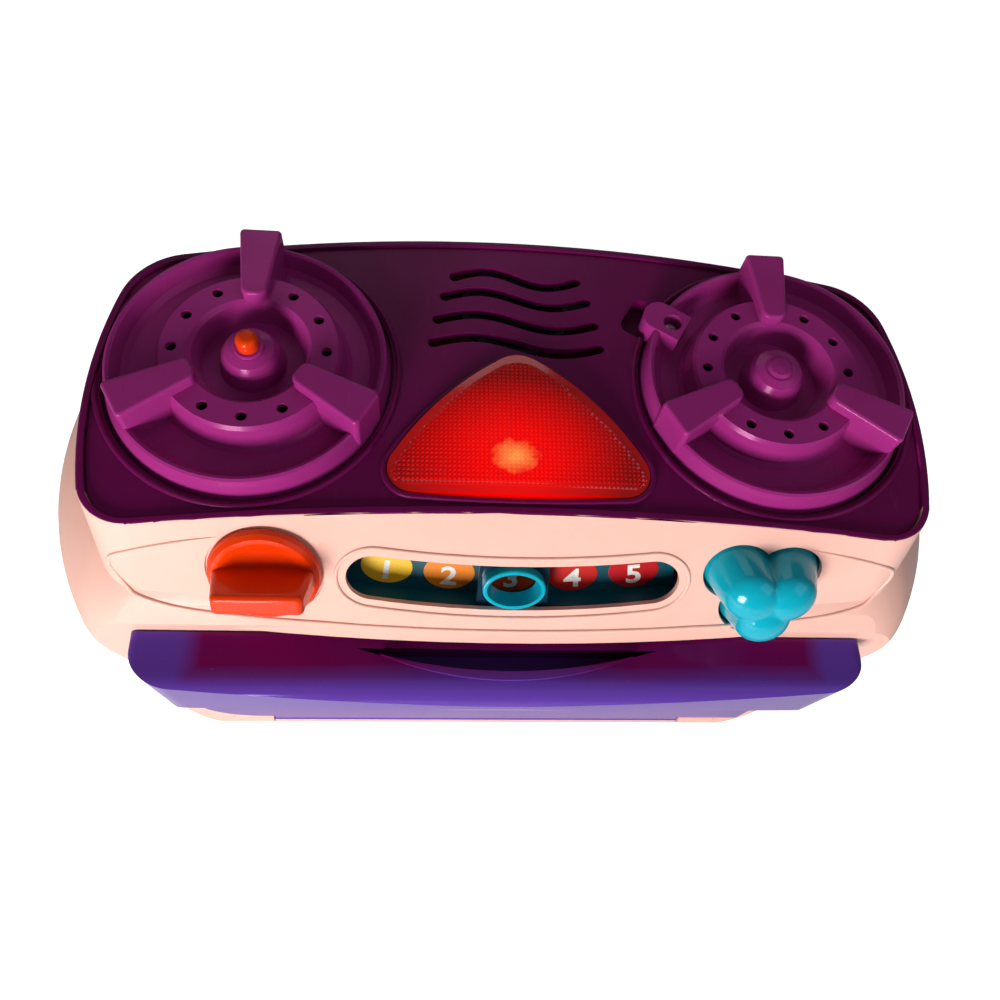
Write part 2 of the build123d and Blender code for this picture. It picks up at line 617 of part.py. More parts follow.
def make_rear_shell(outer, hollow):
    """Rear half of the casing: screw tubes, battery opening and switch window."""
    half = block((-300, SEAM_Y, -10), (300, 300, 400))
    shell = (outer - hollow) & half
    adds = []
    for x, z in HOUSING_SCREWS:
        adds.append(rod(BOSS_WALL_R + 0.8, (x, SEAM_Y, z), (x, BACK_Y, z)) & outer)
    for x, y in BASE_BACK_BOSSES:
        adds.append(rod(BOSS_WALL_R, (x, y, BASE_TOP_Z), (x, y, BASE_BOSS_TOP_Z)) & outer)
    adds.append(block((-BAY_DOOR_HALF - 4, BAY_PAD_Y, BAY_DOOR_LOW_Z - 4),
                      (BAY_DOOR_HALF + 4, BACK_Y + 5, BAY_DOOR_HIGH_Z + 4)) & outer)
    adds.append(block((SWITCH_X - 15, SWITCH_PAD_Y, SWITCH_Z - 8),
                      (SWITCH_X + 15, BACK_Y + 5, SWITCH_Z + 8)) & outer)
    adds += [hob_ear(x, y) & outer for x, y in HOB_SCREWS if y > SEAM_Y]
    shell = fuse([shell, *adds])
    cuts = shared_cuts() + [
        block((-BAY_DOOR_HALF - FIT, BAY_DOOR_Y, BAY_DOOR_LOW_Z - FIT),
              (BAY_DOOR_HALF + FIT, BACK_Y + 5, BAY_DOOR_HIGH_Z + FIT)),
        block((-BAY_HALF, BAY_PAD_Y - 5, BAY_LOW_Z), (BAY_HALF, BACK_Y, BAY_HIGH_Z)),
        rod(BORE_R, (0, BAY_PAD_Y - 1, BAY_SCREW_Z), (0, BACK_Y, BAY_SCREW_Z)),
        block((SWITCH_X - 12, BACK_Y - 0.9 - SWITCH_POCKET, SWITCH_Z - 5),
              (SWITCH_X + 12, BACK_Y + 5, SWITCH_Z + 5)),
        block((SWITCH_X - (SWITCH_TRAVEL + SWITCH_KNOB_W) / 2 - FIT, SWITCH_PAD_Y - 5,
               SWITCH_Z - SWITCH_KNOB_H / 2 - FIT),
              (SWITCH_X + (SWITCH_TRAVEL + SWITCH_KNOB_W) / 2 + FIT, BACK_Y + 5,
               SWITCH_Z + SWITCH_KNOB_H / 2 + FIT)),
    ]
    for x, z in HOUSING_SCREWS:
        cuts.append(rod(BORE_R, (x, SEAM_Y - 1, z), (x, HOUSING_SEAT_Y + 1, z)))
        cuts.append(rod(SCREW_HEAD_R + 0.5, (x, HOUSING_SEAT_Y, z), (x, BACK_Y + 5, z)))
    for x, y in BASE_BACK_BOSSES:
        cuts.append(rod(BORE_R, (x, y, BASE_TOP_Z - 1), (x, y, BASE_BOSS_TOP_Z - 2)))
    for cut in cuts:
        shell -= cut
    return shell


def make_battery_parts():
    """The battery tray with its cells, contacts, cover and screw."""
    low = (-BAY_HALF - BAY_WALL, BAY_INNER_Y - BAY_WALL, BAY_LOW_Z - BAY_WALL)
    high = (BAY_HALF + BAY_WALL, BAY_PAD_Y, BAY_HIGH_Z + BAY_WALL)
    box = block(low, high) - block((-BAY_HALF, BAY_INNER_Y, BAY_LOW_Z),
                                   (BAY_HALF, BAY_PAD_Y + 1, BAY_HIGH_Z))
    for i in range(CELLS - 1):
        x = (i - (CELLS - 2) / 2) * CELL_PITCH
        box += block((x - 0.3, BAY_INNER_Y - 0.5, BAY_LOW_Z - 0.5),
                     (x + 0.3, BAY_INNER_Y + 5, BAY_HIGH_Z + 0.5))
    PARTS["battery_box"] = box

    cells, contacts = [], []
    for i in range(CELLS):
        x = (i - (CELLS - 1) / 2) * CELL_PITCH
        if i % 2 == 0:
            place = Pos(x, CELL_Y, BAY_LOW_Z)
        else:
            place = Pos(x, CELL_Y, BAY_HIGH_Z) * Rot(180, 0, 0)
        can_top = COIL_SPACE + CELL_LEN - CELL_NUB_H
        can = rod(CELL_R, (0, 0, COIL_SPACE), (0, 0, can_top))
        can = fillet(can.edges().filter_by(GeomType.CIRCLE), 0.5)
        nub = rod(CELL_NUB_R, (0, 0, can_top - 1), (0, 0, can_top + CELL_NUB_H))
        cells.append(place * (can + nub))
        coil = [Pos(0, 0, CONTACT_T + COIL_WIRE_R * 0.8 + k * COIL_PITCH) *
                Torus(COIL_R - k * COIL_TAPER, COIL_WIRE_R) for k in range(COIL_TURNS)]
        plate = Pos(0, 0, CONTACT_T / 2) * Box(2 * CONTACT_HALF, 2 * CONTACT_HALF, CONTACT_T)
        contacts.append(place * fuse([plate, *coil]))
        tip_low = can_top + CELL_NUB_H + FIT / 2
        tip_high = BAY_HIGH_Z - BAY_LOW_Z
        contacts.append(place * block((-CONTACT_HALF, -CONTACT_HALF, tip_low),
                                      (CONTACT_HALF, CONTACT_HALF, tip_high)))
    PARTS["aa_cells"] = group(cells)
    PARTS["battery_contacts"] = group(contacts)

    cover = block((-BAY_DOOR_HALF, BAY_DOOR_Y, BAY_DOOR_LOW_Z),
                  (BAY_DOOR_HALF, BAY_DOOR_Y + BAY_DOOR_T, BAY_DOOR_HIGH_Z))
    cover = fillet(cover.edges().filter_by(Axis.Y), 1.5)
    seat_y = BAY_DOOR_Y + BAY_DOOR_T - SCREW_HEAD_H * 0.5
    cover -= rod(SCREW_HEAD_R + FIT, (0, seat_y, BAY_SCREW_Z), (0, BACK_Y + 5, BAY_SCREW_Z))
    cover -= rod(BORE_R, (0, BAY_DOOR_Y - 1, BAY_SCREW_Z), (0, BACK_Y + 5, BAY_SCREW_Z))
    for k in range(5):
        z = BAY_DOOR_HIGH_Z - 8 - 2.4 * k
        cover -= block((-9, BAY_DOOR_Y + BAY_DOOR_T - 0.5, z), (9, BACK_Y + 5, z + 1.2))
    PARTS["battery_door"] = cover
    PARTS["battery_screw"] = screw((0, seat_y, BAY_SCREW_Z), (0, BAY_PAD_Y + 0.2, BAY_SCREW_Z))


def make_switch():
    """The on-off slide switch in the back."""
    knob_low = SWITCH_X - SWITCH_TRAVEL / 2
    stem = block((knob_low - SWITCH_KNOB_W / 2, SWITCH_PAD_Y - FIT, SWITCH_Z - SWITCH_KNOB_H / 2),
                 (knob_low + SWITCH_KNOB_W / 2, BACK_Y - 1.6, SWITCH_Z + SWITCH_KNOB_H / 2))
    for k in (-1, 0, 1):
        x = knob_low + 2.0 * k
        stem += block((x - 0.5, BACK_Y - 2, SWITCH_Z - SWITCH_KNOB_H / 2),
                      (x + 0.5, BACK_Y - 0.9, SWITCH_Z + SWITCH_KNOB_H / 2))
    stem += block((knob_low - SWITCH_KNOB_W / 2 - 2, SWITCH_PAD_Y - 2.0, SWITCH_Z - 5),
                  (knob_low + SWITCH_KNOB_W / 2 + 2, SWITCH_PAD_Y - FIT, SWITCH_Z + 5))
    PARTS["power_switch"] = stem
    body = block((SWITCH_X - 13, SWITCH_PAD_Y - 10, SWITCH_Z - 8),
                 (SWITCH_X + 13, SWITCH_PAD_Y, SWITCH_Z + 8))
    body -= block((SWITCH_X - 10, SWITCH_PAD_Y - 2.0 - FIT, SWITCH_Z - 5 - FIT),
                  (SWITCH_X + 10, SWITCH_PAD_Y + 1, SWITCH_Z + 5 + FIT))
    PARTS["switch_body"] = body


# ---------------------------------------------------------------- base and feet
FOOT_R = 8.0
FOOT_SPOTS = [(side * 112.0, y) for side in (-1, 1) for y in (-40.0, 56.0)]
FOOT_POCKET = 1.0


def make_base():
    """The bottom cover, its screws and the rubber feet."""
    cover = prism(LOWER[0].inset(WALL + FIT), FOOT_DROP, BASE_TOP_Z)
    cover -= block((-200, FRONT_Y - 10, 0), (200, FRONT_Y + WALL + FIT, 20))
    screws, feet = [], []
    for x, y in BASE_FRONT_BOSSES + BASE_BACK_BOSSES:
        seat = FOOT_DROP + 1.4
        cover -= rod(BORE_R, (x, y, 0), (x, y, 20))
        cover -= rod(SCREW_HEAD_R + FIT, (x, y, 0), (x, y, seat))
        screws.append(screw((x, y, seat), (x, y, BASE_BOSS_TOP_Z - 3)))
    for x, y in FOOT_SPOTS:
        cover -= rod(FOOT_R, (x, y, 0), (x, y, FOOT_DROP + FOOT_POCKET))
        foot = rod(FOOT_R - RUN, (x, y, 0), (x, y, FOOT_DROP + FOOT_POCKET))
        feet.append(fillet(foot.faces().sort_by(Axis.Z)[0].edges(), 0.8))
    PARTS["base_plate"] = cover
    PARTS["base_screws"] = group(screws)
    PARTS["rubber_feet"] = group(feet)


def make_housing_screws():
    """The long screws that join the two shells."""
    PARTS["housing_screws"] = group([
        screw((x, HOUSING_SEAT_Y, z), (x, HOUSING_TIP_Y, z)) for x, z in HOUSING_SCREWS
    ])


# ---------------------------------------------------------------- top plate
PLATE_EDGE_R = 0.6
LIP_EDGE_R = 0.7
PLATE_BOSS_R = 3.2
LUG_BOSS_H = 8.0
NOTCH_CORNER_R = 4.0
STEM_HOLE_R = 5.0
BOARD_TOP_Z = 219.6
BOARD_T = 1.6
BOARD_HALF_X = 106.0
BOARD_LOW_Y = -6.0
BOARD_HIGH_Y = 27.5
BOARD_SPOTS = [(-46.0, -3.0), (46.0, -3.0), (-36.0, 23.0), (36.0, 23.0)]
SPEAKER_R = 20.5
SPEAKER_Y = 53.5
SPEAKER_TOP_Z = PLATE_LOW_Z
SPEAKER_RIM_T = 2.0
SPEAKER_DEPTH = 17.0
SPEAKER_SPOTS = [(-35.2, SPEAKER_Y), (35.2, SPEAKER_Y)]
CUP_SCREW_CIRCLE_R = 36.5
CUP_SCREW_ANGLES = REST_ANGLES


def disc_through(start, middle, end, grow):
    """The disc whose rim runs through three points, with its radius grown."""
    arc = ThreePointArc(start, middle, end)
    return Pos(*arc.arc_center) * Circle(arc.radius + grow)


def lens_outline(grow=0.0):
    """The rounded triangle of the lens."""
    left_corner = (-LENS_CORNER[0], LENS_CORNER[1])
    left_side = (-LENS_SIDE[0], LENS_SIDE[1])
    sketch = disc_through(LENS_APEX, LENS_SIDE, LENS_CORNER, grow)
    sketch &= disc_through(left_corner, left_side, LENS_APEX, grow)
    sketch &= disc_through(LENS_CORNER, LENS_LOW, left_corner, grow)
    sketch = fillet(sketch.vertices().sort_by(Axis.Y)[-1:], LENS_APEX_R + grow)
    return fillet(sketch.vertices().sort_by(Axis.Y)[:2], LENS_CORNER_R + grow)


def lens_dome(lift=0.0):
    """A large ball whose top gives the lens its crown."""
    reach = math.hypot(LENS_CORNER[0] - LENS_CORNER_R, LENS_CORNER[1] + LENS_CORNER_R)
    rise = LENS_CROWN_Z - LENS_EDGE_Z
    radius = (reach**2 + rise**2) / (2 * rise)
    return Pos(0, -2, LENS_CROWN_Z + lift - radius) * Sphere(radius)


def vent_slot(y, half):
    """One wave-shaped slot, as a flat outline."""
    steps = [i / (VENT_POINTS - 1) for i in range(VENT_POINTS)]
    points = [(-half + 2 * half * t, y + VENT_AMP * math.sin(2 * math.pi * t)) for t in steps]
    return trace(Spline(*points), VENT_W) + fuse([Pos(*p) * Circle(VENT_W / 2) for p in (points[0], points[-1])])


def lug_bar(inner, outer, width, low, high, corner):
    """A bar from the right burner's ring toward its lug, with rounded outer corners."""
    bar = block((inner, -width / 2, low), (outer, width / 2, high))
    bar = fillet(bar.edges().filter_by(Axis.Z).sort_by(Axis.X)[-2:], corner)
    return ring_centre(1) * Rot(0, 0, LUG_ANGLE) * bar


def make_hob_plate():
    """Top plate with two burner wells, lens window, vents and the bosses under it."""
    plate = prism(PLATE_OUTLINE, PLATE_LOW_Z, PLATE_TOP_Z)
    plate = fillet(plate.faces().sort_by(Axis.Z)[-1].edges(), PLATE_EDGE_R)
    trim = prism(PLATE_OUTLINE.inset(FIT), PLATE_LOW_Z, TOP_Z + 20)
    adds, cuts = [], []
    for side, floor in ((-1, LEFT_FLOOR_Z), (1, RIGHT_FLOOR_Z)):
        well = well_centre(side)
        adds.append(well * rod(WELL_R + WELL_WALL, (0, 0, floor - WELL_FLOOR_T), (0, 0, PLATE_LOW_Z + 1)))
        adds.append(well * Pos(0, 0, PLATE_TOP_Z) * Torus(BEAD_R, BEAD_H) & trim)
        cuts.append(well * rod(WELL_R, (0, 0, floor), (0, 0, TOP_Z + 20)))
        cuts.append(ring_centre(side) * rod(REST_OUT_R + 2 * FIT, (0, 0, floor), (0, 0, TOP_Z + 20)))
        cuts.append(ring_centre(side) * rod(STEM_HOLE_R, (0, 0, 200), (0, 0, TOP_Z)))
    lip = extrude(lens_outline(LIP_W) - lens_outline(FIT), LIP_H + 1)
    lip = fillet(lip.faces().sort_by(Axis.Z)[-1].edges(), LIP_EDGE_R)
    adds.append(Pos(0, 0, PLATE_TOP_Z - 1) * lip)
    adds.append(lug_bar(RING_OUT_R, NOTCH_R + WELL_WALL, NOTCH_W + 2 * WELL_WALL,
                        RIGHT_FLOOR_Z - WELL_FLOOR_T, PLATE_LOW_Z + 1, NOTCH_CORNER_R))
    cuts.append(lug_bar(RING_OUT_R, NOTCH_R, NOTCH_W, RIGHT_FLOOR_Z, TOP_Z + 20, NOTCH_CORNER_R))
    lug_spot = ring_centre(1) * Pos(*polar(LUG_SCREW_R, LUG_ANGLE))
    adds.append(lug_spot * rod(BOSS_WALL_R, (0, 0, RIGHT_FLOOR_Z - LUG_BOSS_H), (0, 0, RIGHT_FLOOR_Z - 1)))
    cuts.append(lug_spot * rod(BORE_R, (0, 0, RIGHT_FLOOR_Z - LUG_BOSS_H + 1), (0, 0, RIGHT_FLOOR_Z + 1)))
    for angle in GUIDE_ANGLES:
        guide = ring_centre(1) * Pos(*polar(GUIDE_CIRCLE_R, angle))
        cuts.append(guide * rod(GUIDE_R + RUN, (0, 0, 200), (0, 0, TOP_Z)))
    for angle in CUP_SCREW_ANGLES:
        hole = ring_centre(-1) * Pos(*polar(CUP_SCREW_CIRCLE_R, angle))
        cuts.append(hole * rod(BORE_R, (0, 0, 200), (0, 0, TOP_Z)))
    for x, y in BOARD_SPOTS:
        adds.append(rod(PLATE_BOSS_R, (x, y, BOARD_TOP_Z), (x, y, PLATE_LOW_Z + 1)))
        cuts.append(rod(BORE_R, (x, y, BOARD_TOP_Z - 1), (x, y, BOARD_TOP_Z + 9)))
    for x, y in SPEAKER_SPOTS:
        adds.append(rod(PLATE_BOSS_R, (x, y, SPEAKER_TOP_Z), (x, y, PLATE_LOW_Z + 1)))
        cuts.append(rod(BORE_R, (x, y, SPEAKER_TOP_Z - 1), (x, y, PLATE_TOP_Z - 1)))
    for x, y in HOB_SCREWS:
        adds.append(rod(PLATE_BOSS_R, (x, y, LEDGE_Z), (x, y, PLATE_LOW_Z + 1)))
        cuts.append(rod(BORE_R, (x, y, LEDGE_Z - 1), (x, y, PLATE_TOP_Z - 1)))
    plate = fuse([plate, *adds])
    cuts.append(Pos(0, 0, PLATE_LOW_Z - 5) * extrude(lens_outline(FIT), 20))
    for y, half in zip(VENT_Y, VENT_HALF):
        cuts.append(Pos(0, 0, PLATE_LOW_Z - 5) * extrude(vent_slot(y, half), 20))
    for cut in cuts:
        plate -= cut
    PARTS["hob_plate"] = plate


# ---------------------------------------------------------------- lens, lamps, speaker, board
LENS_SEAT_Z = PLATE_LOW_Z - LENS_FLANGE_T
TRAY_WALL = 1.6
TRAY_FLOOR_Z = BOARD_TOP_Z + 4.0
LED_SPOTS = ((0.0, 12.0), (-22.0, -12.0), (0.0, -12.0), (22.0, -12.0))
LED_R = 2.5
LED_H = 6.0
LED_HOLE_R = 3.0
KEY_HALF = 3.0
KEY_H = 2.6
KEY_TOP_Z = BOARD_TOP_Z + KEY_H


def make_lens():
    """The red lens, the white tray under it and its lamps."""
    high = LENS_CROWN_Z + 5
    body = Pos(0, 0, PLATE_LOW_Z) * extrude(lens_outline(), high - PLATE_LOW_Z)
    body = body & lens_dome()
    flange = Pos(0, 0, LENS_SEAT_Z) * extrude(lens_outline(LENS_FLANGE), LENS_FLANGE_T)
    hollow = Pos(0, 0, LENS_SEAT_Z - 1) * extrude(lens_outline(-LENS_WALL), high - LENS_SEAT_Z)
    PARTS["lens"] = body + flange - (hollow & lens_dome(-LENS_WALL))

    tray = Pos(0, 0, BOARD_TOP_Z) * extrude(lens_outline(LENS_FLANGE), LENS_SEAT_Z - BOARD_TOP_Z)
    room = extrude(lens_outline(LENS_FLANGE - TRAY_WALL), LENS_SEAT_Z)
    tray -= Pos(0, 0, TRAY_FLOOR_Z + TRAY_WALL) * room
    tray -= Pos(0, 0, TRAY_FLOOR_Z - LENS_SEAT_Z) * room
    lamps = []
    for x, y in LED_SPOTS:
        tray -= rod(LED_HOLE_R, (x, y, BOARD_TOP_Z), (x, y, LENS_SEAT_Z))
        lamp = rod(LED_R, (x, y, BOARD_TOP_Z), (x, y, BOARD_TOP_Z + LED_H))
        lamps.append(lamp + Pos(x, y, BOARD_TOP_Z + LED_H) * Sphere(LED_R))
    for x, y in BOARD_SPOTS:
        tray -= rod(PLATE_BOSS_R + FIT, (x, y, BOARD_TOP_Z - 1), (x, y, LENS_SEAT_Z + 1))
    PARTS["lamp_reflector"] = tray
    PARTS["lamp_leds"] = group(lamps)


def make_speaker():
    """The loudspeaker behind the wave-shaped vents."""
    low = SPEAKER_TOP_Z - SPEAKER_DEPTH
    place = Pos(0, SPEAKER_Y, 0)
    rim_low = SPEAKER_TOP_Z - SPEAKER_RIM_T
    basket = lathe([(SPEAKER_R - 2.5, SPEAKER_TOP_Z), (SPEAKER_R, SPEAKER_TOP_Z), (SPEAKER_R, rim_low),
                    (12.0, low + 5), (12.0, low + 4), (6.0, low + 4), (6.0, low + 5.2),
                    (10.8, low + 5.2), (SPEAKER_R - 2.5, rim_low + 0.5)])
    basket = place * basket
    for x, y in SPEAKER_SPOTS:
        side = math.copysign(1, x)
        near, far = sorted((side * (SPEAKER_R - 1), x + side * 3.4))
        basket += block((near, y - 4, rim_low), (far, y + 4, SPEAKER_TOP_Z))
        basket -= rod(BORE_R, (x, y, rim_low - 1), (x, y, SPEAKER_TOP_Z + 1))
    PARTS["speaker_basket"] = basket
    cone = lathe([(0, low + 7.4), (6.5, low + 8.0), (15.6, SPEAKER_TOP_Z - 1.6), (17.9, SPEAKER_TOP_Z - 1.0),
                  (17.9, SPEAKER_TOP_Z - 1.5), (15.8, SPEAKER_TOP_Z - 2.2), (6.7, low + 7.2),
                  (5.4, low + 6.6), (5.4, low + 2.2), (4.9, low + 2.2), (4.9, low + 6.8), (0, low + 6.8)])
    PARTS["speaker_cone"] = place * cone
    magnet = lathe([(0, low), (10.5, low), (10.5, low + 4), (5.9, low + 4), (5.9, low + 1.4),
                    (4.4, low + 1.4), (4.4, low + 5), (0, low + 5)])
    PARTS["speaker_magnet"] = place * magnet
    PARTS["speaker_screws"] = group([
        screw((x, y, rim_low), (x, y, PLATE_TOP_Z - 1.5)) for x, y in SPEAKER_SPOTS
    ])
    PARTS["hob_screws"] = group([
        screw((x, y, LEDGE_Z - HOB_EAR_T), (x, y, PLATE_TOP_Z - 1.5)) for x, y in HOB_SCREWS
    ])


def make_board():
    """The main board with its parts, key switches and screws."""
    low = BOARD_TOP_Z - BOARD_T
    board = block((-BOARD_HALF_X, BOARD_LOW_Y, low), (BOARD_HALF_X, BOARD_HIGH_Y, BOARD_TOP_Z))
    board = fillet(board.edges().filter_by(Axis.Z), 2.0)
    for x, y in BOARD_SPOTS:
        board -= rod(BORE_R, (x, y, low - 1), (x, y, BOARD_TOP_Z + 1))
    PARTS["circuit_board"] = board
    PARTS["board_screws"] = group([
        screw((x, y, low), (x, y, BOARD_TOP_Z + 8)) for x, y in BOARD_SPOTS
    ])
    top = BOARD_TOP_Z
    chip = block((60, 2, top), (76, 12, top + 1.6))
    for k in range(7):
        x = 61.2 + 2.1 * k
        chip += block((x, 0.8, top), (x + 0.9, 13.2, top + 0.8))
    parts = [
        chip,
        fillet(rod(4.0, (-64, 6, top), (-64, 6, top + 9)).faces().sort_by(Axis.Z)[-1].edges(), 0.6),
        rod(3.0, (-74, 6, top), (-74, 6, top + 7)),
        block((-60, 17, top), (-48, 23, top + 6)),
        block((48, 17, top), (56, 23, top + 6)),
        *[block((64 + 5 * k, 17, top), (67 + 5 * k, 18.6, top + 0.8)) for k in range(3)],
    ]
    PARTS["board_parts"] = group(parts)
    keys = []
    for side in (-1, 1):
        x, y = side * BURNER_X, BURNER_Y
        key = block((x - KEY_HALF, y - KEY_HALF, top), (x + KEY_HALF, y + KEY_HALF, KEY_TOP_Z - 0.8))
        keys.append(key + rod(1.7, (x, y, top), (x, y, KEY_TOP_Z)))
    PARTS["burner_switches"] = group(keys)


# ---------------------------------------------------------------- burners
RIM_PROFILE = ((-6.0, -7.0), (-5.3, -7.0), (-3.3, -5.5), (-2.0, -2.5), (-1.1, -0.6), (0.0, 0.0), (0.9, -0.5),
               (1.1, -1.3))
HUB_BOTTOM = (
    (0.0, -3.9), (7.2, -3.9), (8.8, -8.0), (9.8, -11.7), (19.4, -11.7), (21.6, -2.2), (28.9, -2.2),
    (30.2, -10.5), (30.8, -20.0), (0.0, -20.0),
)
KNOLL_R = 4.5
KNOLL_RISE = 2.4
COLLAR_R = 5.3
COLLAR_RISE = 2.4
COIL_W = 0.45


def cup_blank(side):
    """A burner cup without its centre opening: ring, hub, trough, rim and three pan rests."""
    rim = Pos(side * RIM_SHIFT, 0, 0)
    shoulder_z = -CREST_DROP - 1.3
    shoulder_r = CREST_R + 1.1
    top = Pos(side * RIM_SHIFT, 0, shoulder_z) * Circle(shoulder_r)
    foot = Pos(side * RIM_SHIFT, -FOOT_SHIFT, -CUP_FOOT_DROP) * Circle(CUP_R)
    cup = loft([foot, top], ruled=True)
    cap = [(0.0, shoulder_z)] + [(CREST_R + r, z - CREST_DROP) for r, z in reversed(RIM_PROFILE[-3:])]
    cup += rim * lathe(cap + [(0.0, -CREST_DROP)])
    air = [(0.0, -TROUGH_DROP)]
    air += [(CREST_R + r, z - CREST_DROP) for r, z in RIM_PROFILE[1:5]]
    air += [(CREST_R, -CREST_DROP), (CREST_R, 5.0), (0.0, 5.0)]
    cup -= rim * lathe(air)
    cup += lathe([
        (0.0, BOSS_RISE), (5.5, BOSS_RISE), (BOSS_R - 2.2, BOSS_RISE - 1.2), (BOSS_R - 0.8, BOSS_RISE - 3.4),
        (BOSS_R, BOSS_RISE - 6.6), (BOSS_R + 0.9, -PIT_DROP), (17.5, -PIT_DROP), (RING_IN_R - 0.7, -1.5), (RING_IN_R + 0.8, 0.0),
        (RING_OUT_R - 0.6, 0.0), (RING_OUT_R + 0.4, -1.5), (RING_OUT_R + 1.9, -10.0),
        (RING_OUT_R + 3.4, -TROUGH_DROP), (RING_OUT_R + 3.4, -CUP_FOOT_DROP), (0.0, -CUP_FOOT_DROP),
    ])
    for angle in REST_ANGLES:
        plan = make_face(Polyline((REST_IN_R, -REST_IN_W / 2), (REST_OUT_R, -REST_OUT_W / 2),
                                  (REST_OUT_R, REST_OUT_W / 2), (REST_IN_R, REST_IN_W / 2), close=True))
        plan = fillet(plan.vertices().sort_by(Axis.X)[:2], 3.4)
        plan = fillet(plan.vertices().sort_by(Axis.X)[-2:], 1.6)
        rest = Pos(0, 0, -CUP_FOOT_DROP) * extrude(plan, REST_RISE + CUP_FOOT_DROP)
        rest = fillet(rest.faces().sort_by(Axis.Z)[-1].edges(), 1.2)
        cup += Rot(0, 0, angle) * rest
    cup -= lathe(HUB_BOTTOM)
    for angle in HOLE_ANGLES:
        cup -= Pos(*polar(HOLE_CIRCLE_R, angle)) * Cylinder(HOLE_R, 8)
    return cup


def coil(radius, wire, low, high, turns):
    """A coil spring standing on Z between two heights."""
    rise = high - low - 2 * wire
    path = Helix(pitch=rise / turns, height=rise, radius=radius)
    section = Plane(origin=path @ 0, z_dir=path % 0) * Circle(wire)
    return Pos(0, 0, low + wire) * sweep(section, path=path, is_frenet=True)


def make_left_burner():
    """The fixed burner with its press button, spring and screws."""
    cup = cup_blank(-1)
    cup += lathe([(0, -3.0), (COLLAR_R, -3.0), (COLLAR_R, COLLAR_RISE - 0.3), (COLLAR_R - 0.4, COLLAR_RISE),
                  (0, COLLAR_RISE)])
    cup -= Cylinder(BUTTON_R + RUN, 40)
    for angle in CUP_SCREW_ANGLES:
        cup -= Pos(*polar(CUP_SCREW_CIRCLE_R, angle)) * rod(BORE_R, (0, 0, -20), (0, 0, -4))
    place = ring_centre(-1) * Pos(0, 0, RING_Z)
    PARTS["left_burner"] = place * cup
    floor_low = LEFT_FLOOR_Z - WELL_FLOOR_T - RING_Z
    PARTS["left_burner_screws"] = group([
        place * Pos(*polar(CUP_SCREW_CIRCLE_R, angle)) * screw((0, 0, floor_low), (0, 0, -5))
        for angle in CUP_SCREW_ANGLES
    ])
    flange_z = HUB_BOTTOM[0][1] - 0.2
    tip = KEY_TOP_Z + BUTTON_TRAVEL + 0.2 - RING_Z
    button = rod(BUTTON_R, (0, 0, flange_z - 0.5), (0, 0, BUTTON_RISE))
    button = fillet(button.faces().sort_by(Axis.Z)[-1].edges(), BUTTON_R * 0.62)
    button += rod(BUTTON_FLANGE_R, (0, 0, flange_z - BUTTON_FLANGE_T), (0, 0, flange_z))
    button += rod(BUTTON_STEM_R, (0, 0, tip), (0, 0, flange_z))
    PARTS["burner_button"] = place * button
    PARTS["burner_button_spring"] = place * coil(4.6, COIL_W, LEFT_FLOOR_Z - RING_Z,
                                                 flange_z - BUTTON_FLANGE_T, 4)


def make_right_burner():
    """The burner that presses down, with its lug, guides, stops, spring and shoulder screw."""
    cup = cup_blank(1)
    cup += lathe([(0, -3.0), (KNOLL_R, -3.0), (KNOLL_R, KNOLL_RISE - 1.1), (KNOLL_R - 1.0, KNOLL_RISE - 0.3),
                  (0, KNOLL_RISE)])
    place = ring_centre(1) * Pos(0, 0, RING_Z)
    cup = place * cup
    cup += lug_bar(CUP_SCREW_CIRCLE_R, LUG_R, LUG_W, CUP_FOOT_Z, LUG_TOP_Z, LUG_END_R)
    spot = ring_centre(1) * Pos(*polar(LUG_SCREW_R, LUG_ANGLE))
    cup -= spot * rod(LUG_BORE_R, (0, 0, LUG_SEAT_Z), (0, 0, RING_Z + 9))
    cup -= spot * rod(SHOULDER_R + FIT, (0, 0, CUP_FOOT_Z - 1), (0, 0, RING_Z))
    floor_low = RIGHT_FLOOR_Z - WELL_FLOOR_T
    post_low = floor_low - 0.2
    stops = []
    for angle in GUIDE_ANGLES:
        guide = ring_centre(1) * Pos(*polar(GUIDE_CIRCLE_R, angle))
        cup += guide * rod(GUIDE_R, (0, 0, post_low), (0, 0, CUP_FOOT_Z + 1))
        cup -= guide * rod(BORE_R, (0, 0, post_low - 1), (0, 0, post_low + 5))
        washer = rod(WASHER_R, (0, 0, post_low - WASHER_T), (0, 0, post_low))
        stops.append(guide * (washer + screw((0, 0, post_low - WASHER_T), (0, 0, post_low + 4))))
    stem_tip = KEY_TOP_Z + BURNER_TRAVEL + 0.2
    cup += ring_centre(1) * rod(BUTTON_STEM_R, (0, 0, stem_tip), (0, 0, RING_Z - 3))
    PARTS["right_burner"] = cup
    PARTS["burner_stop_screws"] = group(stops)
    PARTS["right_burner_spring"] = ring_centre(1) * coil(6.2, COIL_W * 1.2, RIGHT_FLOOR_Z,
                                                         RING_Z + HUB_BOTTOM[0][1], 4)
    head = LUG_SEAT_Z + 0.2
    bolt = screw((0, 0, head), (0, 0, RIGHT_FLOOR_Z - LUG_BOSS_H + 2))
    PARTS["burner_screw"] = spot * (bolt + rod(SHOULDER_R, (0, 0, RIGHT_FLOOR_Z), (0, 0, head)))


LUG_TOP_Z = RING_Z - 4.0
LUG_SEAT_Z = RING_Z - 10.5
LUG_BORE_R = 3.5


# ---------------------------------------------------------------- control panel parts
BOARD_FACE = -PANEL_BOARD_SINK
TRACK_HALF = 48.0
LEDGE_IN = 1.0
RAIL_RISE = 2.3
NECK = 1.0


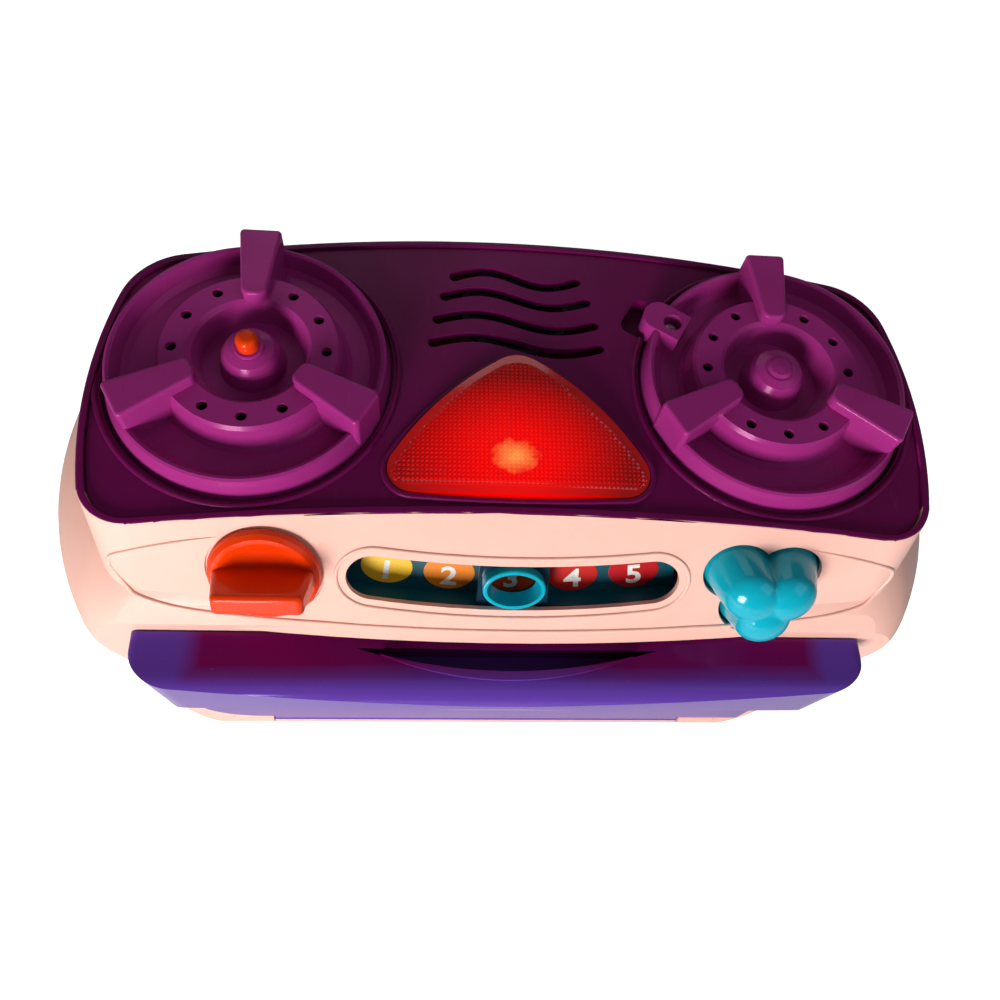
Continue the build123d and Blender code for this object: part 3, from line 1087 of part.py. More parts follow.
def make_panel_board():
    """The tilted board with its pads and screws."""
    back = PANEL_BOARD_SINK + PANEL_BOARD_T
    board = PANEL * block((-PANEL_BOARD_HALF, -PANEL_BOARD_LOW_S, -back),
                          (PANEL_BOARD_HALF, -PANEL_BOARD_HIGH_S, BOARD_FACE))
    screws = []
    for x, s in PANEL_POSTS:
        board -= PANEL * Pos(x, -s, 0) * rod(BORE_R, (0, 0, -back - 1), (0, 0, BOARD_FACE + 1))
        screws.append(PANEL * Pos(x, -s, 0) * screw((0, 0, -back), (0, 0, BOARD_FACE + 9)))
    PARTS["panel_board"] = board
    PARTS["panel_screws"] = group(screws)
    pads = [PANEL * block((-KNOB_X - 6, -KNOB_S - 6, BOARD_FACE), (-KNOB_X + 6, -KNOB_S + 6, BOARD_FACE + 4))]
    pads.append(PANEL * block((-TRACK_HALF, -SLOT_S - 3, BOARD_FACE), (TRACK_HALF, -SLOT_S + 3, BOARD_FACE + 3)))
    PARTS["panel_switches"] = group(pads)


def make_slider():
    """The curved number strip with rails, its label, the sliding carriage and the viewing ring."""
    half = STRIP_H / 2
    strip_low = -STRIP_SINK - STRIP_T
    carriage_low = CARRIAGE_TOP - CARRIAGE_T
    strip = arc_band(STRIP_HALF, -half, half, strip_low, -STRIP_SINK)
    rail_in = half - RAIL_T
    for low, high, near, far in ((rail_in, half, rail_in - LEDGE_IN, half), (-half, -rail_in, -half, LEDGE_IN - rail_in)):
        strip += arc_band(STRIP_HALF, low, high, -STRIP_SINK - 0.5, CARRIAGE_TOP + 0.2)
        strip += arc_band(STRIP_HALF, near, far, -STRIP_SINK - 0.5, carriage_low - RUN)
    screws = []
    for x, s in STRIP_EARS:
        reach = 1 if s < SLOT_S else -1
        near, far = sorted((-s - reach * 6.5, -s + reach * 4.2))
        strip += PANEL * block((x - 4.2, near, strip_low), (x + 4.2, far, -STRIP_SINK))
        strip -= PANEL * Pos(x, -s, 0) * rod(BORE_R, (0, 0, strip_low - 1), (0, 0, 1 - STRIP_SINK))
        screws.append(PANEL * Pos(x, -s, 0) * screw((0, 0, strip_low), (0, 0, -6)))
    room = half - RAIL_T - LEDGE_IN
    strip -= arc_band(STRIP_HALF + 5, -room, room, -STRIP_SINK, 0)
    PARTS["number_strip"] = strip
    PARTS["strip_screws"] = group(screws)
    PARTS["number_label"] = arc_band(LABEL_HALF, -room + FIT, room - FIT, -STRIP_SINK, LABEL_T - STRIP_SINK)

    wide = rail_in - 2 * RUN
    plate = arc_band(CARRIAGE_HALF_X, -wide, wide, carriage_low, CARRIAGE_TOP)
    neck = Ellipse(RING_HALF_X - NECK + RUN, RING_HALF_S - NECK + RUN)
    centre = PANEL * Pos(0, -SLOT_S, 0)
    PARTS["slider_carriage"] = plate - centre * Pos(0, 0, -20) * extrude(neck, 40)
    ring = Pos(0, 0, CARRIAGE_TOP) * extrude(Ellipse(RING_HALF_X, RING_HALF_S), RING_PROUD - CARRIAGE_TOP)
    ring = fillet(ring.faces().sort_by(Axis.Z)[-1].edges(), 0.6)
    ring += Pos(0, 0, carriage_low) * extrude(Ellipse(RING_HALF_X - NECK, RING_HALF_S - NECK), CARRIAGE_T + 1)
    top = Pos(0, 0, RING_PROUD + 0.01) * Ellipse(RING_HALF_X - RING_WALL, RING_HALF_S - RING_WALL)
    low = Pos(0, 0, carriage_low - 0.01) * Ellipse(RING_HALF_X - 2 * RING_WALL, RING_HALF_S - 2 * RING_WALL)
    ring -= loft([low, top], ruled=True)
    PARTS["slider_ring"] = centre * ring


def make_knob():
    """The turning knob with its grip bar, clip and click spring."""
    plane = KNOB_PLANE * Pos(0, -KNOB_S, 0)
    disc = Pos(0, 0, KNOB_SEAT) * lathe([
        (0, 0), (KNOB_R - 0.8, 0), (KNOB_R, 0.8), (KNOB_R - 0.5, KNOB_RIM_H - 1.3), (KNOB_R - 1.9, KNOB_RIM_H),
        (KNOB_R - 3.6, KNOB_RIM_H), (KNOB_R - 7.5, KNOB_BOWL_H + 0.5), (0, KNOB_BOWL_H),
    ])
    side = make_face(Polyline((-KNOB_BAR_FOOT, KNOB_SEAT + 1.5), (-KNOB_BAR_HALF, KNOB_BAR_H),
                              (KNOB_BAR_HALF, KNOB_BAR_H), (KNOB_BAR_FOOT, KNOB_SEAT + 1.5), close=True))
    upright = Plane(origin=(0, KNOB_BAR_W / 2, 0), x_dir=(1, 0, 0), z_dir=(0, -1, 0))
    bar = upright * extrude(side, KNOB_BAR_W)
    bar = fillet(bar.edges().filter_by(lambda edge: edge.center().Z > KNOB_RIM_H + 1), 2.2)
    hollow = Pos(0, 0, KNOB_SEAT) * (Cylinder(KNOB_R - 2.6, 2 * KNOB_HOLLOW) - Cylinder(KNOB_STEM_R + 2, 60))
    stem = rod(KNOB_STEM_R, (0, 0, -BUSH_LEN - 5.4), (0, 0, KNOB_SEAT + KNOB_HOLLOW))
    groove = rod(KNOB_STEM_R + 1, (0, 0, -BUSH_LEN - CLIP_T - 0.15), (0, 0, -BUSH_LEN - 0.1))
    groove -= rod(KNOB_STEM_R - 1, (0, 0, -BUSH_LEN - 3), (0, 0, -BUSH_LEN + 3))
    star_top = -BUSH_LEN - 2.0
    star = Pos(0, 0, star_top - STAR_T) * extrude(Circle(STAR_R - 1.4), STAR_T)
    for k in range(STAR_TEETH):
        star += Rot(0, 0, k * 360 / STAR_TEETH) * block((0, -1.4, star_top - STAR_T), (STAR_R, 1.4, star_top))
    PARTS["orange_knob"] = plane * (disc + bar - hollow + stem + star - groove)
    clip = rod(CLIP_R, (0, 0, -BUSH_LEN - CLIP_T - 0.1), (0, 0, -BUSH_LEN - 0.15))
    clip -= Cylinder(KNOB_STEM_R - 1 + RUN, 60)
    clip -= block((-2.6, 0, -20), (2.6, 20, 0))
    PARTS["knob_clip"] = plane * clip
    blade_x = -KNOB_X + STAR_R + 0.4
    blade = PANEL * block((blade_x, -KNOB_S - 3, BOARD_FACE), (blade_x + 0.5, -KNOB_S + 3, -BUSH_LEN - 1.5))
    foot = PANEL * block((blade_x, -KNOB_S - 3, BOARD_FACE), (blade_x + 6, -KNOB_S + 3, BOARD_FACE + 0.5))
    PARTS["detent_spring"] = blade + foot


STAR_TEETH = 10
LOBE_SEAT = 3.6
LOBE_STEM_R = 3.0
PAD_HALF = 8.0
PAD_T = 1.5
PAD_TOP = 5.0


def make_trefoil():
    """The three-lobed press button and the rubber dome under it."""
    plane = LOBE_PLANE * Pos(0, -LOBE_S, 0)
    body = Pos(0, 0, -LOBE_SEAT - 0.5) * extrude(trefoil(0), LOBE_H + LOBE_SEAT + 0.5)
    domes = [
        Pos(*polar(LOBE_CIRCLE_R - LOBE_DOME_IN, angle, LOBE_H - LOBE_TOP_R)) * Sphere(LOBE_TOP_R)
        for angle in (30, 150, 270)
    ]
    crown = fuse([*domes, Pos(0, 0, LOBE_H - LOBE_DOME_R - 1.5) * Sphere(LOBE_DOME_R)])
    low = block((-60, -60, -LOBE_SEAT - 1), (60, 60, 1.0))
    body = body & (crown + low)
    flange = Pos(0, 0, -LOBE_SEAT - LOBE_FLANGE_T) * extrude(trefoil(LOBE_FLANGE), LOBE_FLANGE_T)
    hollow = Pos(0, 0, -LOBE_SEAT - LOBE_FLANGE_T - 1) * extrude(trefoil(-2.4), LOBE_FLANGE_T + LOBE_SEAT + 3)
    stem = rod(LOBE_STEM_R, (0, 0, 1 - PANEL_BOARD_SINK + PAD_TOP + LOBE_TRAVEL), (0, 0, 4))
    PARTS["trefoil_button"] = plane * (body + flange - hollow + stem)
    seat = PANEL * Pos(LOBE_X, -LOBE_S, 0)
    pad = block((-PAD_HALF, -PAD_HALF, BOARD_FACE), (PAD_HALF, PAD_HALF, BOARD_FACE + PAD_T))
    dome = lathe([(0, BOARD_FACE), (6.4, BOARD_FACE), (6.4, BOARD_FACE + PAD_T), (4.2, BOARD_FACE + PAD_TOP),
                  (0, BOARD_FACE + PAD_TOP)])
    PARTS["trefoil_spring_pad"] = seat * (pad + dome)


# ---------------------------------------------------------------- door
def door_form(inset):
    """The closed door's outer form, or the same form drawn further in and open at the back."""
    back = FRONT_Y - DOOR_GAP
    points = [(back, DOOR_TOP_Z), (DOOR_FRONT_Y, DOOR_TOP_Z), (DOOR_FRONT_Y, DOOR_CHIN_Z),
              (DOOR_SLIM_Y, DOOR_SLIM_Z), (DOOR_SLIM_Y, DOOR_LOW_Z), (back, DOOR_LOW_Z)]
    side = make_face(Polyline(*points, close=True))
    for spot, radius in ((points[1], DOOR_BROW_R), (points[2], DOOR_CHIN_R), (points[3], DOOR_SLIM_R)):
        corner = side.vertices().sort_by_distance(Vector(*spot, 0))[0]
        side = fillet([corner], radius)
    plan = make_face([
        Line((-DOOR_HALF, back), (-DOOR_HALF, DOOR_END_Y)),
        bowed((-DOOR_HALF, DOOR_END_Y), (0, DOOR_FRONT_Y - 0.01), (DOOR_HALF, DOOR_END_Y)),
        Line((DOOR_HALF, DOOR_END_Y), (DOOR_HALF, back)),
        Line((DOOR_HALF, back), (-DOOR_HALF, back)),
    ])
    plan = fillet(plan.vertices().sort_by(Axis.Y)[:2], DOOR_CORNER_R)
    front = Pos(0, (DOOR_LOW_Z + DOOR_TOP_Z) / 2) * Rectangle(2 * DOOR_HALF, DOOR_TOP_Z - DOOR_LOW_Z)
    front = fillet(front.vertices().sort_by(Axis.Y)[:2], DOOR_LOW_CORNER_R)
    front = fillet(front.vertices().sort_by(Axis.Y)[-2:], DOOR_TOP_CORNER_R)
    sketches = [side, plan, front]
    if inset:
        sketches = [offset(sketch, -inset, kind=Kind.INTERSECTION) for sketch in sketches]
    side, plan, front = sketches
    long_x = Plane(origin=(-200, 0, 0), x_dir=(0, 1, 0), z_dir=(1, 0, 0)) * side
    form = extrude(long_x, 400) & extrude(plan, 300) & (Plane(origin=(0, 0, 0), x_dir=(1, 0, 0), z_dir=(0, -1, 0)) *
                                                         extrude(front, 150))
    if inset:
        rear = block((-200, back - inset - 0.01, -10), (200, back + 5, 300))
        mouth = Plane(origin=(0, back + 5, 0), x_dir=(1, 0, 0), z_dir=(0, -1, 0)) * extrude(front, inset + 5.01)
        form = form + (mouth & rear)
    return form


DOOR_SLIM_R = 20.0
DOOR_TOP_CORNER_R = 4.0
PULL_WALL = 2.2
WEB_TOP_Z = DOOR_LOW_Z + 4.0


def crescent(grow):
    """The crescent-shaped outline of the door's finger pull."""
    half = PULL_HALF + grow
    return make_face([
        Line((-half, PULL_BACK_Y + grow), (half, PULL_BACK_Y + grow)),
        ThreePointArc((half, PULL_BACK_Y + grow), (0, PULL_FRONT_Y - grow), (-half, PULL_BACK_Y + grow)),
    ])


def make_door():
    """The see-through door with its inner panel, catch and hinge pins."""
    back = FRONT_Y - DOOR_GAP
    shell = door_form(0) - door_form(DOOR_WALL)
    pocket_low = DOOR_TOP_Z - PULL_DEPTH
    shell += (Pos(0, 0, pocket_low - PULL_WALL) * extrude(crescent(PULL_WALL), PULL_DEPTH + PULL_WALL)) & door_form(0)
    ridge_in = crescent(0)
    ridge = (crescent(PULL_RIDGE_W) - ridge_in) & (Pos(0, -50 + PULL_BACK_Y) * Rectangle(4 * PULL_HALF, 100))
    shell += Pos(0, 0, DOOR_TOP_Z - 1) * extrude(ridge, PULL_RIDGE_H + 1)
    shell -= Pos(0, 0, pocket_low) * extrude(ridge_in, 40)
    barrel = rod(HINGE_BARREL_R, (-HINGE_HALF, HINGE_Y, HINGE_Z), (HINGE_HALF, HINGE_Y, HINGE_Z))
    web = block((-HINGE_HALF, DOOR_SLIM_Y, HINGE_Z), (HINGE_HALF, back, DOOR_LOW_Z + 1))
    shell = shell + barrel + web
    for side in (-1, 1):
        shell -= rod(HINGE_PIN_R + RUN, (side * (HINGE_HALF - 10.5), HINGE_Y, HINGE_Z),
                     (side * (HINGE_HALF + 1), HINGE_Y, HINGE_Z))
    PARTS["door_shell"] = shell
    PARTS["hinge_pins"] = group([
        rod(HINGE_PIN_R, (side * (HINGE_HALF - 10), HINGE_Y, HINGE_Z), (side * (LUG_END - 2.5), HINGE_Y, HINGE_Z))
        for side in (-1, 1)
    ])
    gap = DOOR_WALL + FIT
    low, high = DOOR_LOW_Z + gap, DOOR_TOP_Z - gap
    sheet = Pos(0, (low + high) / 2) * Rectangle(2 * (DOOR_HALF - gap), high - low)
    sheet = fillet(sheet.vertices().sort_by(Axis.Y)[:2], DOOR_LOW_CORNER_R - gap)
    sheet = fillet(sheet.vertices().sort_by(Axis.Y)[-2:], DOOR_TOP_CORNER_R - 1)
    liner = Plane(origin=(0, back, 0), x_dir=(1, 0, 0), z_dir=(0, -1, 0)) * extrude(sheet, DOOR_LINER_T)
    plug = block((-DOOR_PLUG_HALF, back - 0.5, OVEN_LOW_Z + 4), (DOOR_PLUG_HALF, back + DOOR_PLUG_T, OVEN_HIGH_Z - 4))
    plug = fillet(plug.edges().filter_by(Axis.Y), 12.0)
    room = block((DOOR_PLUG_T - DOOR_PLUG_HALF, back, OVEN_LOW_Z + 4 + DOOR_PLUG_T),
                 (DOOR_PLUG_HALF - DOOR_PLUG_T, back + 9, OVEN_HIGH_Z - 4 - DOOR_PLUG_T))
    room = fillet(room.edges().filter_by(Axis.Y), 10.0)
    PARTS["door_liner"] = liner + plug - room
    nib = block((-CATCH_HALF, back, CATCH_Z - CATCH_H / 2), (CATCH_HALF, back + CATCH_REACH, CATCH_Z + CATCH_H / 2))
    PARTS["door_catch"] = fillet(nib.faces().sort_by(Axis.Y)[-1].edges(), 0.9)


# ---------------------------------------------------------------- oven box
RIB_H = 4.0
RIB_W = 4.0
RACK_GAP = 0.3


def make_oven():
    """The oven's inner box, its rack and its screws."""
    front = FRONT_Y + WALL
    box = block((-OVEN_HALF - OVEN_WALL, front, OVEN_LOW_Z - OVEN_WALL),
                (OVEN_HALF + OVEN_WALL, OVEN_BACK_Y + OVEN_WALL, OVEN_HIGH_Z + OVEN_WALL))
    box = fillet(box.faces().sort_by(Axis.Y)[-1].edges(), 6.0)
    low, high = LINER_FLANGE_Z
    box += block((-OVEN_HALF - OVEN_WALL - 1, front, low), (OVEN_HALF + OVEN_WALL + 1, front + OVEN_WALL, high))
    room = block((-OVEN_HALF, front - 1, OVEN_LOW_Z), (OVEN_HALF, OVEN_BACK_Y, OVEN_HIGH_Z))
    room = fillet(room.faces().sort_by(Axis.Y)[-1].edges(), 4.0)
    box -= room
    for side in (-1, 1):
        near, far = sorted((side * OVEN_HALF + side, side * (OVEN_HALF - RIB_W)))
        box += block((near, front + 4, RACK_Z - RIB_H), (far, OVEN_BACK_Y - 4, RACK_Z))
    for x, z in LINER_SCREWS:
        side = math.copysign(1, x)
        near, far = sorted((side * (OVEN_HALF + 1), x + side * BOSS_WALL_R))
        box += block((near, LINER_BOSS_Y, z - 4), (far, LINER_BOSS_Y + OVEN_WALL, z + 4))
        box -= rod(BORE_R, (x, LINER_BOSS_Y - 1, z), (x, LINER_BOSS_Y + 9, z))
    PARTS["oven_liner"] = box
    PARTS["liner_screws"] = group([
        screw((x, LINER_BOSS_Y + OVEN_WALL, z), (x, FRONT_Y + WALL + 0.5, z)) for x, z in LINER_SCREWS
    ])
    half = OVEN_HALF - RACK_GAP - RACK_BAR / 2
    y_low, y_high = front + 7.4, OVEN_BACK_Y - 5
    z = RACK_Z + RACK_BAR / 2
    corners = [(-half, y_low, z), (half, y_low, z), (half, y_high, z), (-half, y_high, z)]
    rack = fuse([rod(RACK_BAR / 2, a, b) for a, b in zip(corners, corners[1:] + corners[:1])])
    rack += fuse([Pos(*corner) * Sphere(RACK_BAR / 2) for corner in corners])
    for k in range(1, RACK_BARS + 1):
        x = -half + 2 * half * k / (RACK_BARS + 1)
        rack += rod(RACK_BAR / 2 - 0.3, (x, y_low, z), (x, y_high, z))
    PARTS["oven_rack"] = rack


# ---------------------------------------------------------------- the whole toy
def make_all():
    """Every part of the toy."""
    outer = outer_body()
    hollow = inner_body()
    PARTS["front_shell"] = make_front_shell(outer, hollow)
    PARTS["rear_shell"] = make_rear_shell(outer, hollow)
    make_housing_screws()
    make_base()
    make_battery_parts()
    make_switch()
    make_hob_plate()
    make_lens()
    make_speaker()
    make_board()
    make_left_burner()
    make_right_burner()
    make_panel_board()
    make_slider()
    make_knob()
    make_trefoil()
    make_door()
    make_oven()


make_all()
os.makedirs("parts", exist_ok=True)
for name, shape in PARTS.items():
    export_step(shape, f"parts/{name}.step")
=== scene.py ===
"""Toy oven: looks for every piece of the table-top toy oven.

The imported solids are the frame. This script gives each of them its moulded, printed or
metal finish, adds the pieces that need finer shapes, and sets a plain studio around them.
"""
import logging
import math
from dataclasses import dataclass
from enum import Enum
from typing import Any, Callable, Sequence, Union

import bpy
from mathutils import Matrix, Vector


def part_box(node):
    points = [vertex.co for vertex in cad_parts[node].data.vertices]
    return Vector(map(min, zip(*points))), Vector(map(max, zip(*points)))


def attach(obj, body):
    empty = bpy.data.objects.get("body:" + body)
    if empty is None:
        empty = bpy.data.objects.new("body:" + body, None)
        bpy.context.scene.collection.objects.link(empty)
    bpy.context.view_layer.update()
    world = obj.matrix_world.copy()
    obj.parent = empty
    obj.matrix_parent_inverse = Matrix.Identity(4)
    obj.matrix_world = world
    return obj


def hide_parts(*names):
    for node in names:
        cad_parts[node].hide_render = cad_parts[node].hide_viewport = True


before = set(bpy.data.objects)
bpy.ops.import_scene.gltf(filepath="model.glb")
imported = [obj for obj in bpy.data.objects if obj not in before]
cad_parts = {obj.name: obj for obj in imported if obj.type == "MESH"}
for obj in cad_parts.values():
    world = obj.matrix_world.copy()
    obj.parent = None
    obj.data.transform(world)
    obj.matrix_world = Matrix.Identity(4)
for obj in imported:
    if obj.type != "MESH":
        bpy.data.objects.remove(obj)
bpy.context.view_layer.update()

MM = 0.001
Colour = tuple[float, float, float]
Number = Union[float, "Signal"]

# Sockets of the Mix node when it mixes colours; several share a name, so they go by number.
MIX_SHARE = 0
MIX_FIRST = 6
MIX_SECOND = 7
MIX_RESULT = 2

log = logging.getLogger("toy_oven")


# ------------------------------------------------------------------ shader maths
class Signal:
    """A number or colour that runs along a shader link."""

    def __init__(self, shader: "Shader", socket: bpy.types.NodeSocket) -> None:
        """Keep the socket and its shader.

        Args:
            shader: The shader that the socket belongs to.
            socket: The output socket.
        """
        self.shader = shader
        self.socket = socket

    def _with(self, operation: str, first: Number, second: Number) -> "Signal":
        """Add one Math node.

        Args:
            operation: The Math node's operation.
            first: Its first value.
            second: Its second value.

        Returns:
            The result.
        """
        return self.shader.node("ShaderNodeMath", {"operation": operation}, {0: first, 1: second})

    def __add__(self, other: Number) -> "Signal":
        """Sum."""
        return self._with("ADD", self, other)

    __radd__ = __add__

    def __sub__(self, other: Number) -> "Signal":
        """Difference."""
        return self._with("SUBTRACT", self, other)

    def __rsub__(self, other: Number) -> "Signal":
        """Reflected difference."""
        return self._with("SUBTRACT", other, self)

    def __mul__(self, other: Number) -> "Signal":
        """Product."""
        return self._with("MULTIPLY", self, other)

    __rmul__ = __mul__

    def __abs__(self) -> "Signal":
        """Size without its sign."""
        return self.shader.node("ShaderNodeMath", {"operation": "ABSOLUTE"}, {0: self})

    def at_least(self, other: Number) -> "Signal":
        """The larger of this and the other."""
        return self._with("MAXIMUM", self, other)

    def axis(self, index: int) -> "Signal":
        """One axis of a vector: 0 across, 1 along, 2 up."""
        return self.shader.node("ShaderNodeSeparateXYZ", {}, {0: self}, index)


class Shader:
    """One material and the nodes inside it."""

    def __init__(self, name: str) -> None:
        """Make an empty material with a Principled shader.

        Args:
            name: The material's name.
        """
        self.material = bpy.data.materials.new(name)
        self.material.use_nodes = True
        self.tree = self.material.node_tree
        self.tree.nodes.clear()
        self.output = self.tree.nodes.new("ShaderNodeOutputMaterial")
        self.surface = self.tree.nodes.new("ShaderNodeBsdfPrincipled")
        self.tree.links.new(self.surface.outputs["BSDF"], self.output.inputs["Surface"])

    def feed(self, socket: bpy.types.NodeSocket, value: Any) -> None:
        """Set or link one input socket.

        Args:
            socket: The input socket.
            value: A signal, a number, a colour or a vector.
        """
        if isinstance(value, Signal):
            self.tree.links.new(value.socket, socket)
        elif isinstance(value, (tuple, list)) and len(value) == 3 and socket.type == "RGBA":
            socket.default_value = (*value, 1.0)
        else:
            socket.default_value = value

    def node(self, kind: str, settings: dict[str, Any], inputs: dict[Any, Any], out: Any = 0) -> Signal:
        """Add a node.

        Args:
            kind: The node's type.
            settings: The node's own settings.
            inputs: Values or signals by socket name or number.
            out: The name or number of the output socket.

        Returns:
            The signal of that output.
        """
        made = self.tree.nodes.new(kind)
        for name, value in settings.items():
            setattr(made, name, value)
        for name, value in inputs.items():
            self.feed(made.inputs[name], value)
        return Signal(self, made.outputs[out])

    def place(self, centre: Sequence[float] = (0, 0, 0), scale: Sequence[float] = (1, 1, 1),
              turn: Sequence[float] = (0, 0, 0)) -> Signal:
        """Object coordinates, centred, turned and scaled.

        Args:
            centre: The point that becomes the pattern's origin.
            scale: Stretch along each axis.
            turn: Rotation in radians.

        Returns:
            The vector.
        """
        raw = self.node("ShaderNodeTexCoord", {}, {}, "Object")
        shift = tuple(-c for c in centre)
        moved = self.node("ShaderNodeMapping", {}, {"Vector": raw, "Location": shift})
        return self.node("ShaderNodeMapping", {}, {
            "Vector": moved, "Rotation": tuple(turn), "Scale": tuple(scale)})

    def noise(self, where: Signal, scale: float, detail: float = 2.0, rough: float = 0.5) -> Signal:
        """Soft noise from 0 to 1.

        Args:
            where: The vector to read it at.
            scale: Blobs per metre.
            detail: Octaves.
            rough: How strong the fine octaves are.

        Returns:
            The noise.
        """
        return self.node("ShaderNodeTexNoise", {}, {"Vector": where, "Scale": scale, "Detail": detail,
                                                    "Roughness": rough}, "Fac")

    def span(self, value: Signal, low: float, high: float, to_low: float = 0.0,
             to_high: float = 1.0) -> Signal:
        """Map a range of values to another range and clamp it.

        Args:
            value: The signal.
            low: Start of the old range.
            high: End of the old range.
            to_low: Start of the new range.
            to_high: End of the new range.

        Returns:
            The mapped signal.
        """
        return self.node("ShaderNodeMapRange", {"clamp": True}, {
            "Value": value, "From Min": low, "From Max": high, "To Min": to_low, "To Max": to_high})

    def mix(self, share: Number, first: Any, second: Any) -> Signal:
        """Mix two colours.

        Args:
            share: From 0, the first, to 1, the second.
            first: A colour or signal.
            second: A colour or signal.

        Returns:
            The mixed colour.
        """
        return self.node("ShaderNodeMix", {"data_type": "RGBA"}, {
            MIX_SHARE: share, MIX_FIRST: first, MIX_SECOND: second}, MIX_RESULT)

    def bump(self, height: Signal, depth: float, strength: float = 1.0) -> None:
        """Press a height pattern into the surface's normals.

        Args:
            height: The pattern, from 0 to 1.
            depth: Its depth in metres.
            strength: How strongly it shows.
        """
        self.set(Normal=self.node("ShaderNodeBump", {}, {
            "Height": height, "Distance": depth, "Strength": strength}, "Normal"))

    def set(self, **sockets: Any) -> None:
        """Feed sockets of the Principled shader; underscores stand for spaces.

        Args:
            **sockets: Values or signals.
        """
        for name, value in sockets.items():
            self.feed(self.surface.inputs[name.replace("_", " ")], value)


# ------------------------------------------------------------------ finishes
@dataclass(frozen=True)
class MouldedPlastic:
    """Opaque injection-moulded plastic with a fine grain, soft flow shades and handling scuffs."""

    name: str
    colour: Colour
    shade: Colour
    roughness: float = 0.3
    coat: float = 0.25
    grain: float = 2600.0
    grain_depth: float = 0.03 * MM
    scuff: float = 0.12
    subsurface: float = 0.0
    ior: float = 1.4
    sheen_lift: float = 0.25
    scuff_colour: Colour = (0.8, 0.78, 0.76)
    bleed: tuple[float, float, float] = (0.004, 0.002, 0.0015)

    def material(self) -> bpy.types.Material:
        """Build the material.

        Returns:
            The material.
        """
        s = Shader(self.name)
        where = s.place()
        flow = s.noise(where, 9.0, 3.0, 0.55)
        cloud = s.noise(where, 42.0, 2.0, 0.5)
        colour = s.mix(s.span(flow * 0.7 + cloud * 0.3, 0.35, 0.68), self.colour, self.shade)
        rubs = s.noise(s.place(scale=(1.0, 0.18, 1.0), turn=(0.2, 0.4, 0.7)), 420.0, 2.0, 0.6)
        worn = s.span(rubs, 0.60, 0.78) * s.span(cloud, 0.45, 0.75)
        gloss = s.span(cloud, 0.3, 0.7, self.roughness * 0.85, self.roughness * 1.15)
        sheen = tuple(min(1.0, self.sheen_lift + c) for c in self.colour)
        s.set(Base_Color=s.mix(worn * self.scuff, colour, self.scuff_colour),
              Roughness=gloss + worn * self.scuff, Coat_Weight=self.coat, Coat_Roughness=0.08,
              IOR=self.ior, Specular_Tint=sheen)
        if self.subsurface:
            s.set(Subsurface_Weight=self.subsurface, Subsurface_Radius=self.bleed, Subsurface_Scale=1.0)
        s.bump(s.noise(where, self.grain, 1.0, 0.5), self.grain_depth, 0.6)
        return s.material


@dataclass(frozen=True)
class TintedPlastic:
    """See-through coloured plastic with painted light: a painted shade on its top, and a painted highlight
    that makes it lighter along its front, its ends and low down.
    """

    name: str
    # The first colour is the painted highlight, the second the painted shade of the top.
    light: Colour
    deep: Colour
    front_y: float
    end_x: float
    chin_z: float
    blend: float
    transmission: float
    roughness: float = 0.12
    waver: float = 10.0 * MM
    dust_colour: Colour = (0.6, 0.5, 0.8)
    sheen: Colour = (0.45, 0.35, 0.85)

    def material(self) -> bpy.types.Material:
        """Build the material.

        Returns:
            The material.
        """
        s = Shader(self.name)
        where = s.place()
        swirl = s.noise(where, 14.0, 3.0, 0.5)
        shift = (swirl - 0.5) * self.waver
        # Painted highlight: the front, the ends and the part under the chin fade to the lighter colour; the
        # rest keeps the painted shade.
        front = s.span(where.axis(1) + shift, self.front_y, self.front_y - self.blend)
        end = s.span(abs(where.axis(0)) + shift, self.end_x, self.end_x + self.blend)
        painted_low_highlight = s.span(where.axis(2) + shift, self.chin_z, self.chin_z - self.blend)
        colour = s.mix(front.at_least(end).at_least(painted_low_highlight), self.deep, self.light)
        dust = s.span(s.noise(where, 900.0, 2.0, 0.6), 0.68, 0.8)
        s.set(Base_Color=s.mix(dust * 0.08, colour, self.dust_colour),
              Roughness=s.span(swirl, 0.3, 0.7, self.roughness * 0.8, self.roughness * 1.3),
              Transmission_Weight=self.transmission, IOR=1.3, Specular_Tint=self.sheen, Coat_Weight=0.06,
              Coat_Roughness=0.05)
        s.bump(s.noise(where, 60.0, 2.0, 0.4), 0.12 * MM, 0.35)
        return s.material


@dataclass(frozen=True)
class PrismRed:
    """Red lamp plastic with a painted glow: red emission that brightens toward its lamps, and a painted warm
    spot where they stand.
    """

    name: str
    centre: tuple[float, float, float]
    lamp_reach: float = 8.5 * MM
    glow_reach: float = 40.0 * MM

    def material(self) -> bpy.types.Material:
        """Build the material.

        Returns:
            The material.
        """
        s = Shader(self.name)
        spot = s.place(self.centre, (1.0, 1.25, 0.0))
        reach = s.node("ShaderNodeVectorMath", {"operation": "LENGTH"}, {0: spot}, "Value")
        speckle = s.noise(s.place(), 260.0, 2.0, 0.6)
        # Painted glow: the warm spot over the lamps and the red emission that fades away from them are
        # painted on the lens, not lamp light shining through it.
        warm = s.span(reach + (speckle - 0.5) * (6.0 * MM), self.lamp_reach, 1.0 * MM)
        painted_glow_falloff = s.span(reach, self.glow_reach, 12.0 * MM)
        red = s.mix(painted_glow_falloff, (0.06, 0.0, 0.0), (0.72, 0.0, 0.0))
        s.set(Base_Color=s.mix(warm, (0.42, 0.001, 0.001), (0.80, 0.16, 0.05)),
              Roughness=s.span(speckle, 0.3, 0.7, 0.10, 0.18),
              Emission_Color=s.mix(warm, red, (0.75, 0.25, 0.05)), Emission_Strength=0.85, IOR=1.49,
              Coat_Weight=0.25, Coat_Roughness=0.05)
        s.bump(s.noise(s.place(), 1500.0, 1.0, 0.5), 0.02 * MM, 0.3)
        return s.material


